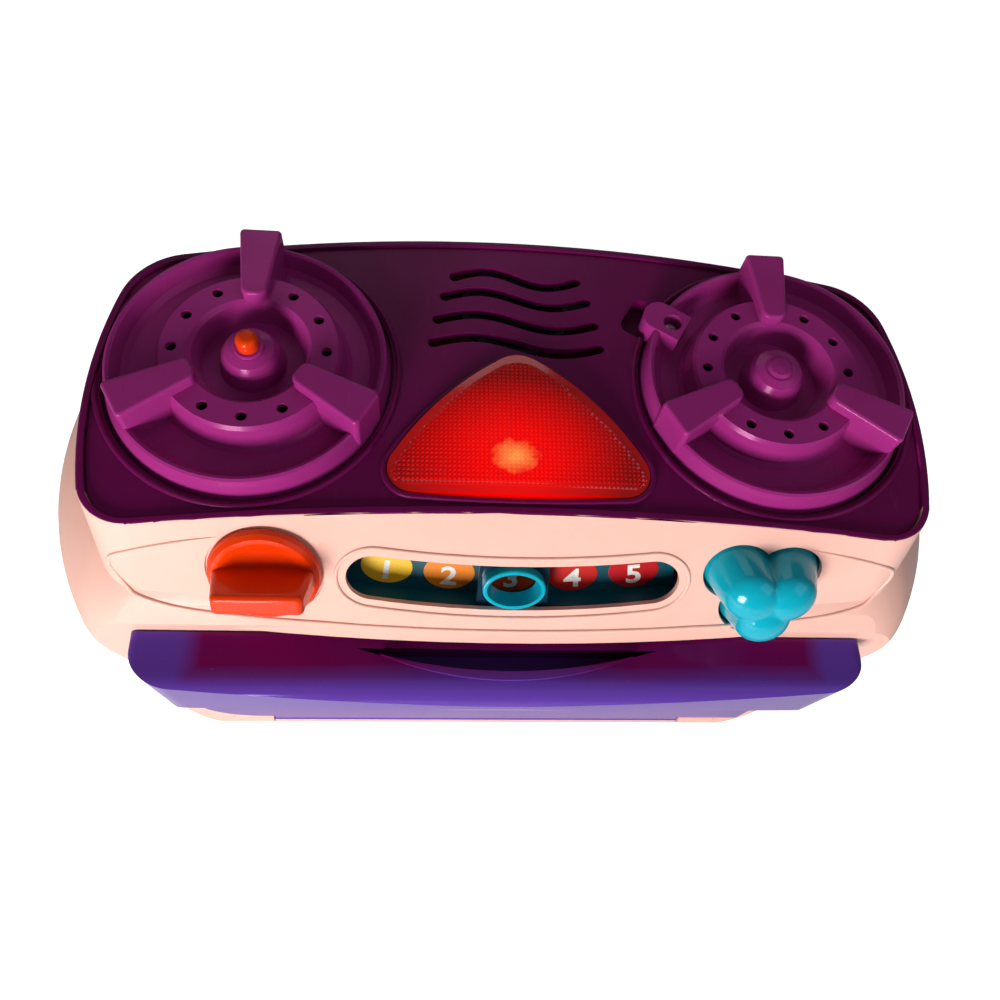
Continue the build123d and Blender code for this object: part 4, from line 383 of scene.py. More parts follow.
@dataclass(frozen=True)
class Metal:
    """Drawn or plated metal with fine rub lines."""

    name: str
    colour: Colour
    roughness: float = 0.28
    lines: float = 1800.0

    def material(self) -> bpy.types.Material:
        """Build the material.

        Returns:
            The material.
        """
        s = Shader(self.name)
        where = s.place(scale=(1.0, 1.0, 0.12))
        rub = s.noise(where, self.lines, 2.0, 0.6)
        stain = s.noise(s.place(), 160.0, 2.0, 0.5)
        dull = tuple(c * 0.72 for c in self.colour)
        s.set(Base_Color=s.mix(s.span(stain, 0.4, 0.75), self.colour, dull),
              Roughness=s.span(rub, 0.3, 0.7, self.roughness * 0.7, self.roughness * 1.4), Metallic=1.0)
        s.bump(rub, 0.01 * MM, 0.4)
        return s.material


@dataclass(frozen=True)
class Rubber:
    """Matt rubber with a dusty bloom."""

    name: str
    colour: Colour

    def material(self) -> bpy.types.Material:
        """Build the material.

        Returns:
            The material.
        """
        s = Shader(self.name)
        bloom = s.noise(s.place(), 120.0, 3.0, 0.6)
        light = tuple(min(1.0, c * 1.9 + 0.02) for c in self.colour)
        s.set(Base_Color=s.mix(s.span(bloom, 0.4, 0.8), self.colour, light),
              Roughness=s.span(bloom, 0.3, 0.7, 0.62, 0.8))
        s.bump(s.noise(s.place(), 3000.0, 1.0, 0.5), 0.04 * MM, 0.5)
        return s.material


@dataclass(frozen=True)
class BoardLaminate:
    """Green circuit-board laminate with copper tracks under the lacquer."""

    name: str

    def material(self) -> bpy.types.Material:
        """Build the material.

        Returns:
            The material.
        """
        s = Shader(self.name)
        tracks = s.node("ShaderNodeTexBrick", {}, {
            "Vector": s.place(turn=(0.0, 0.0, 0.785)), "Scale": 90.0, "Mortar Size": 0.06,
            "Color1": (0.02, 0.16, 0.05), "Color2": (0.03, 0.20, 0.07),
            "Mortar": (0.05, 0.30, 0.11)}, "Color")
        fibre = s.noise(s.place(), 700.0, 2.0, 0.5)
        s.set(Base_Color=s.mix(s.span(fibre, 0.3, 0.8) * 0.3, tracks, (0.01, 0.08, 0.03)),
              Roughness=s.span(fibre, 0.3, 0.7, 0.25, 0.4))
        s.bump(fibre, 0.03 * MM, 0.5)
        return s.material


@dataclass(frozen=True)
class CellWrap:
    """Plain two-coloured wrap of a battery cell."""

    name: str
    split_z: float

    def material(self) -> bpy.types.Material:
        """Build the material.

        Returns:
            The material.
        """
        s = Shader(self.name)
        where = s.place()
        cap = s.span(where.axis(2), self.split_z, self.split_z + 0.4 * MM)
        wear = s.noise(where, 300.0, 2.0, 0.5)
        s.set(Base_Color=s.mix(cap, (0.03, 0.07, 0.16), (0.55, 0.40, 0.16)),
              Roughness=s.span(wear, 0.3, 0.7, 0.2, 0.34), Metallic=0.6)
        s.bump(wear, 0.03 * MM, 0.3)
        return s.material


@dataclass(frozen=True)
class Glow:
    """Clear lamp body that shines warm."""

    name: str

    def material(self) -> bpy.types.Material:
        """Build the material.

        Returns:
            The material.
        """
        s = Shader(self.name)
        spark = s.noise(s.place(), 500.0, 2.0, 0.5)
        s.set(Base_Color=s.mix(spark, (0.9, 0.8, 0.6), (0.95, 0.9, 0.8)),
              Roughness=s.span(spark, 0.3, 0.7, 0.1, 0.2), Transmission_Weight=0.4,
              Emission_Color=s.mix(spark, (1.0, 0.55, 0.2), (1.0, 0.8, 0.45)), Emission_Strength=1.5)
        return s.material


class Tint(Enum):
    """The printed colours of the number discs, from left to right."""

    YELLOW = (0.93, 0.55, 0.015)
    ORANGE = (0.86, 0.24, 0.008)
    FLAME = (0.80, 0.07, 0.008)
    RED = (0.56, 0.012, 0.008)
    CRIMSON = (0.50, 0.004, 0.01)


@dataclass(frozen=True)
class Print:
    """Printed ink on film, with a faint screen pattern."""

    name: str
    colour: Colour

    def material(self) -> bpy.types.Material:
        """Build the material.

        Returns:
            The material.
        """
        s = Shader(self.name)
        where = s.place()
        ink = s.noise(where, 1400.0, 1.0, 0.5)
        dull = tuple(c * 0.82 for c in self.colour)
        s.set(Base_Color=s.mix(s.span(ink, 0.35, 0.75) * 0.6, self.colour, dull),
              Roughness=s.span(ink, 0.3, 0.7, 0.32, 0.45))
        s.bump(ink, 0.01 * MM, 0.4)
        return s.material


PINK = MouldedPlastic("casing_pink", (0.86, 0.52, 0.44), (0.80, 0.44, 0.36), roughness=0.42, coat=0.05,
                      grain=2400.0, grain_depth=0.04 * MM, scuff=0.06, subsurface=0.06)
PURPLE = MouldedPlastic("hob_purple", (0.155, 0.005, 0.085), (0.115, 0.003, 0.055), roughness=0.32, coat=0.0,
                        grain_depth=0.02 * MM, scuff=0.02)
BURNER = MouldedPlastic("burner_purple", (0.38, 0.030, 0.22), (0.29, 0.018, 0.17), roughness=0.28, coat=0.05,
                        grain_depth=0.02 * MM, scuff=0.02)
ORANGE = MouldedPlastic("knob_orange", (0.80, 0.050, 0.001), (0.72, 0.030, 0.001), roughness=0.25, coat=0.2,
                        grain=1800.0, grain_depth=0.01 * MM, scuff=0.02, subsurface=0.05)
TEAL = MouldedPlastic("turquoise", (0.002, 0.40, 0.52), (0.002, 0.32, 0.44), roughness=0.18, coat=0.4,
                      grain=1800.0, grain_depth=0.01 * MM, scuff=0.02, subsurface=0.04)
# Teal of the number strip, darkened with painted shade for the shadow that the slot's lip casts on it.
STRIP_TEAL_PAINTED_SHADE = MouldedPlastic("strip_teal_painted_shade", (0.002, 0.12, 0.17), (0.002, 0.09, 0.13), coat=0.1, grain=1800.0,
                           grain_depth=0.01 * MM, scuff=0.04)
# Near-black blue of the slider carriage: partly its own dark colour, partly painted shade for the dark slot
# round the ring.
CARRIAGE_BLUE_PAINTED_SHADE = MouldedPlastic("carriage_blue_painted_shade", (0.002, 0.030, 0.055), (0.002, 0.020, 0.040), coat=0.3,
                          grain=1800.0, grain_depth=0.01 * MM, scuff=0.04)
# The label's teal print, darkened with painted shade for the shadow inside the slot.
LABEL_TEAL_PAINTED_SHADE = Print("label_teal_painted_shade", (0.001, 0.07, 0.10))
WHITE_INK = Print("digit_white", (0.86, 0.85, 0.80))
# Door colours: the light one is a painted highlight for the front and ends, the other a painted shade for the
# top.
DOOR_TINT = TintedPlastic("door_violet", light=(0.105, 0.040, 0.33), deep=(0.130, 0.002, 0.080),
                          front_y=-71.5 * MM, end_x=112.0 * MM, chin_z=183.0 * MM, blend=8.0 * MM,
                          transmission=0.08)
LINER_TINT = MouldedPlastic("door_magenta", (0.080, 0.010, 0.13), (0.055, 0.004, 0.085), roughness=0.25,
                            coat=0.3, grain=2200.0)
OVEN_VIOLET = MouldedPlastic("oven_violet", (0.16, 0.05, 0.20), (0.12, 0.03, 0.16), roughness=0.4, coat=0.1,
                             grain=2200.0)
STEEL = Metal("zinc_steel", (0.72, 0.71, 0.70))
SILVER = Metal("rack_silver", (0.70, 0.70, 0.72), roughness=0.35, lines=900.0)
WHITE = MouldedPlastic("white_plastic", (0.86, 0.85, 0.82), (0.80, 0.79, 0.76), roughness=0.42, coat=0.05)
BLACK = MouldedPlastic("black_plastic", (0.016, 0.016, 0.018), (0.024, 0.024, 0.026), roughness=0.42,
                       coat=0.05)
FOOT_RUBBER = Rubber("foot_rubber", (0.05, 0.05, 0.052))
LAMINATE = BoardLaminate("board_green")
LAMP_GLOW = Glow("lamp_glow")


# ------------------------------------------------------------------ modelling helpers
def only(piece: bpy.types.Object) -> None:
    """Select one object and make it active.

    Args:
        piece: The object.
    """
    bpy.ops.object.select_all(action="DESELECT")
    piece.select_set(True)
    bpy.context.view_layer.objects.active = piece


def join(pieces: Sequence[bpy.types.Object]) -> bpy.types.Object:
    """Join objects into the first of them.

    Args:
        pieces: The objects.

    Returns:
        The joined object.
    """
    bpy.ops.object.select_all(action="DESELECT")
    for piece in pieces:
        piece.select_set(True)
    bpy.context.view_layer.objects.active = pieces[0]
    bpy.ops.object.join()
    return pieces[0]


def edit_all(piece: bpy.types.Object) -> None:
    """Enter edit mode with everything selected.

    Args:
        piece: The mesh object.
    """
    only(piece)
    bpy.ops.object.mode_set(mode="EDIT")
    bpy.ops.mesh.select_all(action="SELECT")


def select_faces(piece: bpy.types.Object, wanted: Callable[[Vector, Vector], bool]) -> None:
    """Enter edit mode with the faces selected that pass a test of centre and normal.

    Args:
        piece: The mesh object.
        wanted: The test.
    """
    only(piece)
    bpy.ops.object.mode_set(mode="EDIT")
    bpy.ops.mesh.select_mode(type="FACE")
    bpy.ops.mesh.select_all(action="DESELECT")
    bpy.ops.object.mode_set(mode="OBJECT")
    for face in piece.data.polygons:
        face.select = wanted(face.center, face.normal)
    bpy.ops.object.mode_set(mode="EDIT")


def leave_edit() -> None:
    """Go back to object mode."""
    bpy.ops.object.mode_set(mode="OBJECT")


def settle(piece: bpy.types.Object) -> None:
    """Put the object's place into its mesh.

    Args:
        piece: The object.
    """
    piece.data.transform(piece.matrix_basis)
    piece.matrix_basis = Matrix.Identity(4)


def apply_modifier(piece: bpy.types.Object, kind: str, **settings: Any) -> None:
    """Add a modifier and apply it.

    Args:
        piece: The object.
        kind: The modifier's type.
        **settings: The modifier's settings.
    """
    only(piece)
    made = piece.modifiers.new(kind.lower(), kind)
    for name, value in settings.items():
        setattr(made, name, value)
    bpy.ops.object.modifier_apply(modifier=made.name)


def smooth(piece: bpy.types.Object, angle: float = 35.0) -> None:
    """Shade smooth except over sharp edges.

    Args:
        piece: The object.
        angle: Edges sharper than this, in degrees, stay sharp.
    """
    only(piece)
    bpy.ops.object.shade_smooth_by_angle(angle=math.radians(angle))


def finish_piece(piece: bpy.types.Object, name: str, body: str, material: bpy.types.Material,
                 stands_for: Sequence[str] = ()) -> bpy.types.Object:
    """Name, dress and attach a new piece.

    Args:
        piece: The object.
        name: Its name.
        body: The body that it rides on.
        material: Its material.
        stands_for: The nodes that it replaces.

    Returns:
        The object.
    """
    piece.name = name
    piece.data.name = name
    piece.data.materials.clear()
    piece.data.materials.append(material)
    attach(piece, body)
    if stands_for:
        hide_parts(*stands_for)
    log.info("piece %s rides on %s", name, body)
    return piece


def dress(names: Sequence[str], material: bpy.types.Material) -> None:
    """Give nodes their material.

    Args:
        names: The nodes.
        material: The material.
    """
    for name in names:
        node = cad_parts[name]
        if not node.material_slots:
            node.data.materials.append(material)
        for slot in node.material_slots:
            slot.material = material
        log.info("node %s has %s", name, material.name)


@dataclass(frozen=True)
class SlopedPlane:
    """A plane on the sloped control panel: across, up the slope and outward."""

    origin: tuple[float, float, float]
    normal: tuple[float, float, float]

    def matrix(self) -> Matrix:
        """The plane's placement in the room.

        Returns:
            The matrix.
        """
        out = Vector(self.normal).normalized()
        across = Vector((1, 0, 0))
        up = out.cross(across)
        rows = Matrix((across, up, out)).transposed().to_4x4()
        return Matrix.Translation(Vector(self.origin)) @ rows


PANEL = SlopedPlane((0.0, -0.032, 0.240), (0.0, -0.816722, 0.577032))
LOBE_SEAT = SlopedPlane((0.0881, -0.0478, 0.21763), (0.0, -0.873839, 0.486216))
SLOT_ARC_RADIUS = 339.0 * MM  # the number slot, its strip and its discs curve about one far centre


# ------------------------------------------------------------------ sub-assemblies
@dataclass
class Casing:
    """The pink shells, their base, battery door and feet."""

    shells: Sequence[str] = ("front_shell", "rear_shell", "base_plate", "battery_door")

    def build(self) -> None:
        """Dress the casing."""
        dress(self.shells, PINK.material())
        dress(["rubber_feet"], FOOT_RUBBER.material())


@dataclass
class Hob:
    """The purple top plate with its turned-down flange, and both burners."""

    rim_z: float = 240.0 * MM
    flange_drop: float = 3.6 * MM
    flange_wall: float = 0.5 * MM
    front_y: float = -27.0 * MM
    middle_y: float = 16.0 * MM
    top_band: float = 1.0 * MM
    edge_band: float = 2.6 * MM
    level: float = 0.75
    outward: float = 0.3
    same_point: float = 0.02 * MM

    def build(self) -> None:
        """Dress plate and burners and lay the flange over the casing's rim."""
        purple = PURPLE.material()
        dress(["hob_plate"], purple)
        dress(["left_burner", "right_burner"], BURNER.material())
        dress(["burner_button"], ORANGE.material())
        finish_piece(self._flange(), "hob_flange", "body", purple)

    def _flange(self) -> bpy.types.Object:
        """A thin skin over the rim's top and its upper side; at the control panel over its top only.

        Returns:
            The object.
        """
        shells = []
        for name in ("front_shell", "rear_shell"):
            shell = bpy.data.objects.new(f"{name}_copy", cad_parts[name].data.copy())
            bpy.context.scene.collection.objects.link(shell)
            shells.append(shell)
        skin = join(shells)
        edit_all(skin)
        low_z = self.rim_z - self.flange_drop
        bpy.ops.mesh.bisect(plane_co=(0, 0, low_z), plane_no=(0, 0, 1), clear_inner=True)
        leave_edit()
        edit_all(skin)
        bpy.ops.mesh.remove_doubles(threshold=self.same_point)
        leave_edit()
        select_faces(skin, lambda centre, normal: not self._shows(centre, normal))
        bpy.ops.mesh.delete(type="FACE")
        leave_edit()
        apply_modifier(skin, "SOLIDIFY", thickness=self.flange_wall, offset=0.0)
        smooth(skin, 30.0)
        return skin

    def _shows(self, centre: Vector, normal: Vector) -> bool:
        """Whether a face of the rim belongs to the flange.

        Args:
            centre: The face's centre.
            normal: The face's normal.

        Returns:
            True for the rim's top and, away from the control panel, its outer side.
        """
        if centre.y < self.front_y:
            return normal.z > self.level and centre.z > self.rim_z - self.top_band
        if centre.z > self.rim_z - self.edge_band:
            return True
        facing = centre.x * normal.x + (centre.y - self.middle_y) * normal.y
        return facing > self.outward * math.hypot(centre.x, centre.y - self.middle_y)


@dataclass
class LampLens:
    """The red lens with its field of small pyramids, its tray and its lamps."""

    pitch: float = 1.55 * MM
    relief: float = 0.62 * MM
    border: float = 2.6 * MM
    corner_radius: float = 6.5 * MM
    crown_z: float = 244.5 * MM
    edge_z: float = 240.6 * MM
    centre_y: float = -2.0 * MM
    low_y: float = -26.4 * MM
    low_bow: float = 0.77
    reach: tuple[float, float] = (42.0 * MM, -15.4 * MM)
    columns: int = 66
    rows: int = 36
    apex: tuple[float, float] = (0.0, 30.5)
    flank: tuple[float, float] = (28.6, 8.0)
    corner: tuple[float, float] = (51.0, -24.4)
    under: tuple[float, float] = (0.0, -26.4)
    step: float = 0.1 * MM
    row_lift: float = 0.02 * MM
    skin: float = 0.04 * MM
    same_point: float = 0.03 * MM
    lamp_spot: tuple[float, float] = (-2.0 * MM, -13.0 * MM)

    def dome_z(self, x: float, y: float) -> float:
        """Height of the lens crown.

        Args:
            x: Place across.
            y: Place along.

        Returns:
            The height.
        """
        rise = self.crown_z - self.edge_z
        radius = (math.hypot(*self.reach) ** 2 + rise**2) / (2 * rise)
        return self.crown_z - radius + math.sqrt(radius**2 - x * x - (y - self.centre_y) ** 2)

    def depth(self, x: float, y: float) -> float:
        """Signed distance from the field's rounded outline; negative inside.

        Args:
            x: Place across.
            y: Place along.

        Returns:
            The distance.
        """
        inset = self.border + self.corner_radius
        gaps = [math.hypot(x - cx, y - cy) - r + inset for cx, cy, r in self._discs()]
        outside = math.hypot(*(max(gap, 0.0) for gap in gaps))
        return outside + min(max(gaps), 0.0) - self.corner_radius

    def build(self) -> None:
        """Model the pyramid field and dress lens, tray and lamps."""
        glow = PrismRed("lens_red", (*self.lamp_spot, self.crown_z)).material()
        dress(["lens"], glow)
        bpy.ops.object.select_all(action="DESELECT")
        bpy.ops.mesh.primitive_grid_add(x_subdivisions=self.columns, y_subdivisions=self.rows, size=2.0)
        grid = bpy.context.active_object
        self._bend_rows(grid.data)
        edit_all(grid)
        bpy.ops.mesh.remove_doubles(threshold=self.same_point)
        bpy.ops.mesh.dissolve_degenerate(threshold=self.same_point)
        leave_edit()
        corners = len(grid.data.vertices)
        edit_all(grid)
        bpy.ops.mesh.poke(offset=0.0)
        bpy.ops.mesh.normals_make_consistent(inside=False)
        leave_edit()
        for vertex in grid.data.vertices:
            x, y, _ = vertex.co
            room = min(1.0, max(0.0, -self.depth(x, y)) / self.pitch)
            lift = self.relief * room if vertex.index >= corners else 0.0
            vertex.co.z = self.dome_z(x, y) + self.skin + lift
        finish_piece(grid, "lens_pyramids", "body", glow)
        dress(["lamp_reflector"], WHITE.material())
        dress(["lamp_leds"], LAMP_GLOW.material())

    def _bend_rows(self, mesh: bpy.types.Mesh) -> None:
        """Move a square grid into rows that follow the lens's lower edge and end at its outline.

        Args:
            mesh: The grid, from -1 to 1 each way.
        """
        for vertex in mesh.vertices:
            across = vertex.co.x * self.columns / 2 * self.pitch
            up = (vertex.co.y + 1) * self.rows / 2 * self.pitch
            spot = self._row_spot(across, up)
            while self.depth(*spot) > 0 and spot[0] != 0.0:
                across = math.copysign(max(abs(across) - self.step, 0.0), across)
                spot = self._row_spot(across, up)
            while self.depth(*spot) > 0 and up > 0:
                up -= self.step
                spot = self._row_spot(0.0, up)
            vertex.co = (*spot, 0.0)

    def _row_spot(self, across: float, up: float) -> tuple[float, float]:
        """A point of the curved rows.

        Args:
            across: Place across.
            up: Distance above the lower edge of the field.

        Returns:
            The point.
        """
        return across, self.low_y + self.border + self.row_lift + self.low_bow * across * across + up

    def _discs(self) -> list[tuple[float, float, float]]:
        """The three discs whose overlap is the lens outline.

        Returns:
            Centre and radius of each.
        """
        left_corner = (-self.corner[0], self.corner[1])
        right_disc = circle_through(self.apex, self.flank, self.corner)
        low_disc = circle_through(self.corner, self.under, left_corner)
        left_disc = (-right_disc[0], right_disc[1], right_disc[2])
        return [tuple(v * MM for v in disc) for disc in (right_disc, low_disc, left_disc)]


def circle_through(a: tuple[float, float], b: tuple[float, float],
                   c: tuple[float, float]) -> tuple[float, float, float]:
    """The circle through three points.

    Args:
        a: First point.
        b: Second point.
        c: Third point.

    Returns:
        Its centre and radius.
    """
    ax, ay, bx, by, cx, cy = *a, *b, *c
    d = 2 * (ax * (by - cy) + bx * (cy - ay) + cx * (ay - by))
    aa, bb, cc = ax * ax + ay * ay, bx * bx + by * by, cx * cx + cy * cy
    x = (aa * (by - cy) + bb * (cy - ay) + cc * (ay - by)) / d
    y = (aa * (cx - bx) + bb * (ax - cx) + cc * (bx - ax)) / d
    return x, y, math.hypot(ax - x, ay - y)


@dataclass
class PanelRelief:
    """Moulded beads on the control panel: round its field and round the number slot."""

    bead: float = 0.75 * MM
    slot_room: float = 3.4 * MM
    slot_height: float = 19.0 * MM
    slot_half: float = 49.5 * MM
    slot_down: float = 31.5 * MM
    field: Sequence[tuple[float, float]] = (
        (100.0, 10.5), (112.0, 12.5), (130.0, 16.5), (137.5, 21.0), (138.0, 27.0), (137.0, 34.0),
        (128.0, 40.0), (105.0, 45.5), (60.0, 49.5), (0.0, 51.0),
    )
    rounds: int = 3
    start: float = 30.0 * MM
    deepest: float = -2.5 * MM
    fade: float = 0.08

    def build(self) -> None:
        """Lay both beads on the panel's bowed face."""
        pink = PINK.material()
        half = [(x * MM, -down * MM) for x, down in self.field]
        path = half + [(-x, up) for x, up in reversed(half[:-1])]
        for _ in range(self.rounds):
            path = self._cut_corners(path)
        finish_piece(self._lay("field_bead", path, False), "field_bead", "body", pink)
        slot_line = self._lay("slot_bead", self._slot_path(), True)
        finish_piece(slot_line, "slot_bead", "body", pink)

    def _cut_corners(self, path: Sequence[tuple[float, float]]) -> list[tuple[float, float]]:
        """Round an open path once by cutting its corners.

        Args:
            path: Points across and up the slope.

        Returns:
            About twice as many points.
        """
        made = [path[0]]
        for (ax, ay), (bx, by) in zip(path, path[1:]):
            made.append((ax * 0.75 + bx * 0.25, ay * 0.75 + by * 0.25))
            made.append((ax * 0.25 + bx * 0.75, ay * 0.25 + by * 0.75))
        return made + [path[-1]]

    def _slot_path(self, steps: int = 24) -> list[tuple[float, float]]:
        """The closed path round the curved slot.

        Args:
            steps: Points per side and per end.

        Returns:
            Points across and up the slope.
        """
        reach = self.slot_height / 2 + self.slot_room
        turn = self.slot_half / SLOT_ARC_RADIUS
        middle = SLOT_ARC_RADIUS - self.slot_down
        path = []
        for side in (-1, 1):
            radius = SLOT_ARC_RADIUS - side * reach
            for step in range(steps):
                angle = side * turn * (2 * step / steps - 1)
                path.append((radius * math.sin(angle), middle - radius * math.cos(angle)))
            end_x = SLOT_ARC_RADIUS * math.sin(side * turn)
            end_up = middle - SLOT_ARC_RADIUS * math.cos(turn)
            for step in range(steps):
                around = side * (turn + math.pi / 2) - math.pi * step / steps
                path.append((end_x + reach * math.cos(around), end_up + reach * math.sin(around)))
        return path

    def _lay(self, name: str, path: Sequence[tuple[float, float]], closed: bool) -> bpy.types.Object:
        """Lay a round bead along a path, on the panel's face.

        Args:
            name: The bead's name.
            path: Points across and up the slope.
            closed: Whether the bead closes on itself.

        Returns:
            The object.
        """
        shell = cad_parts["front_shell"]
        place = PANEL.matrix()
        inward = -Vector(PANEL.normal)
        spots = []
        for across, up in path:
            found, spot, _, _ = shell.ray_cast(place @ Vector((across, up, self.start)), inward)
            if found and (place.inverted() @ spot).z > self.deepest:
                spots.append(spot)
        curve = bpy.data.curves.new(name, "CURVE")
        curve.dimensions = "3D"
        curve.bevel_depth = self.bead
        curve.bevel_resolution = 4
        line = curve.splines.new("POLY")
        line.points.add(len(spots) - 1)
        line.use_cyclic_u = closed
        for index, (point, spot) in enumerate(zip(line.points, spots)):
            point.co = (*spot, 1.0)
            from_end = 1 + min(index, len(spots) - 1 - index)
            point.radius = 1.0 if closed else min(1.0, self.fade * from_end)
        bead = bpy.data.objects.new(name, curve)
        bpy.context.scene.collection.objects.link(bead)
        only(bead)
        bpy.ops.object.convert(target="MESH")
        bead = bpy.context.active_object
        smooth(bead, 60.0)
        return bead


@dataclass
class NumberDial:
    """The curved strip with five numbered discs and the sliding viewing ring."""

    disc_down: float = 34.5 * MM
    spacing: float = 22.7 * MM
    disc_radius: float = 9.3 * MM
    disc_height: float = 0.78
    disc_thick: float = 0.16 * MM
    disc_edge: float = 0.25 * MM
    disc_crown: float = 0.03 * MM
    label_top: float = -12.7 * MM
    digit_height: float = 8.2 * MM
    digit_squash: float = 0.88
    digit_drop: float = 1.4 * MM
    digit_bold: float = 0.32 * MM
    digit_thick: float = 0.05 * MM
    digit_lift: float = 0.26 * MM
    type_size: float = 11.89 * MM

    def spot(self, index: int) -> Matrix:
        """Placement of a disc.

        Args:
            index: From -2 at the left to 2 at the right.

        Returns:
            The matrix.
        """
        turn = index * self.spacing / SLOT_ARC_RADIUS
        x = SLOT_ARC_RADIUS * math.sin(turn)
        up = SLOT_ARC_RADIUS - self.disc_down - SLOT_ARC_RADIUS * math.cos(turn)
        return PANEL.matrix() @ Matrix.Translation((x, up, self.label_top)) @ Matrix.Rotation(turn, 4, "Z")

    def _disc(self, number: int, tint: Tint) -> None:
        """Model one printed disc.

        Args:
            number: The figure that it carries.
            tint: Its colour.
        """
        bpy.ops.object.select_all(action="DESELECT")
        bpy.ops.mesh.primitive_cylinder_add(vertices=72, radius=self.disc_radius, depth=self.disc_thick,
                                            location=(0, 0, self.disc_thick / 2))
        disc = bpy.context.active_object
        select_faces(disc, lambda centre, normal: normal.z > 0.9)
        bpy.ops.mesh.inset(thickness=self.disc_edge, depth=self.disc_crown)
        leave_edit()
        settle(disc)
        disc.data.transform(self.spot(number - 3) @ Matrix.Diagonal((1.0, self.disc_height, 1.0, 1.0)))
        ink = Print(f"ink_{tint.name.lower()}", tint.value).material()
        finish_piece(disc, f"number_disc_{number}", "body", ink)

    def _digit(self, number: int) -> None:
        """Model one plain figure on its disc.

        Args:
            number: The figure.
        """
        bpy.ops.object.select_all(action="DESELECT")
        bpy.ops.object.text_add()
        digit = bpy.context.active_object
        digit.data.body = str(number)
        digit.data.align_x = "CENTER"
        digit.data.align_y = "CENTER"
        digit.data.size = self.type_size
        digit.data.offset = self.digit_bold
        digit.data.extrude = self.digit_thick
        digit.data.resolution_u = 8
        only(digit)
        bpy.ops.object.convert(target="MESH")
        digit = bpy.context.active_object
        settle(digit)
        corners = [vertex.co for vertex in digit.data.vertices]
        low = [min(corner[axis] for corner in corners) for axis in (0, 1)]
        high = [max(corner[axis] for corner in corners) for axis in (0, 1)]
        grow = self.digit_height / (high[1] - low[1])
        centring = Matrix.Translation((-(low[0] + high[0]) / 2, -(low[1] + high[1]) / 2, 0.0))
        digit.data.transform(Matrix.Diagonal((grow / self.digit_squash, grow, 1.0, 1.0)) @ centring)
        on_disc = Matrix.Translation((0, -self.digit_drop, self.digit_lift))
        digit.data.transform(self.spot(number - 3) @ on_disc)
        finish_piece(digit, f"digit_{number}", "body", WHITE_INK.material())

    def build(self) -> None:
        """Dress strip and ring, and print the discs."""
        teal = TEAL.material()
        dress(["slider_ring"], teal)
        dress(["number_strip"], STRIP_TEAL_PAINTED_SHADE.material())
        dress(["slider_carriage"], CARRIAGE_BLUE_PAINTED_SHADE.material())
        dress(["number_label"], LABEL_TEAL_PAINTED_SHADE.material())
        for number, tint in enumerate(Tint, start=1):
            self._disc(number, tint)
            self._digit(number)


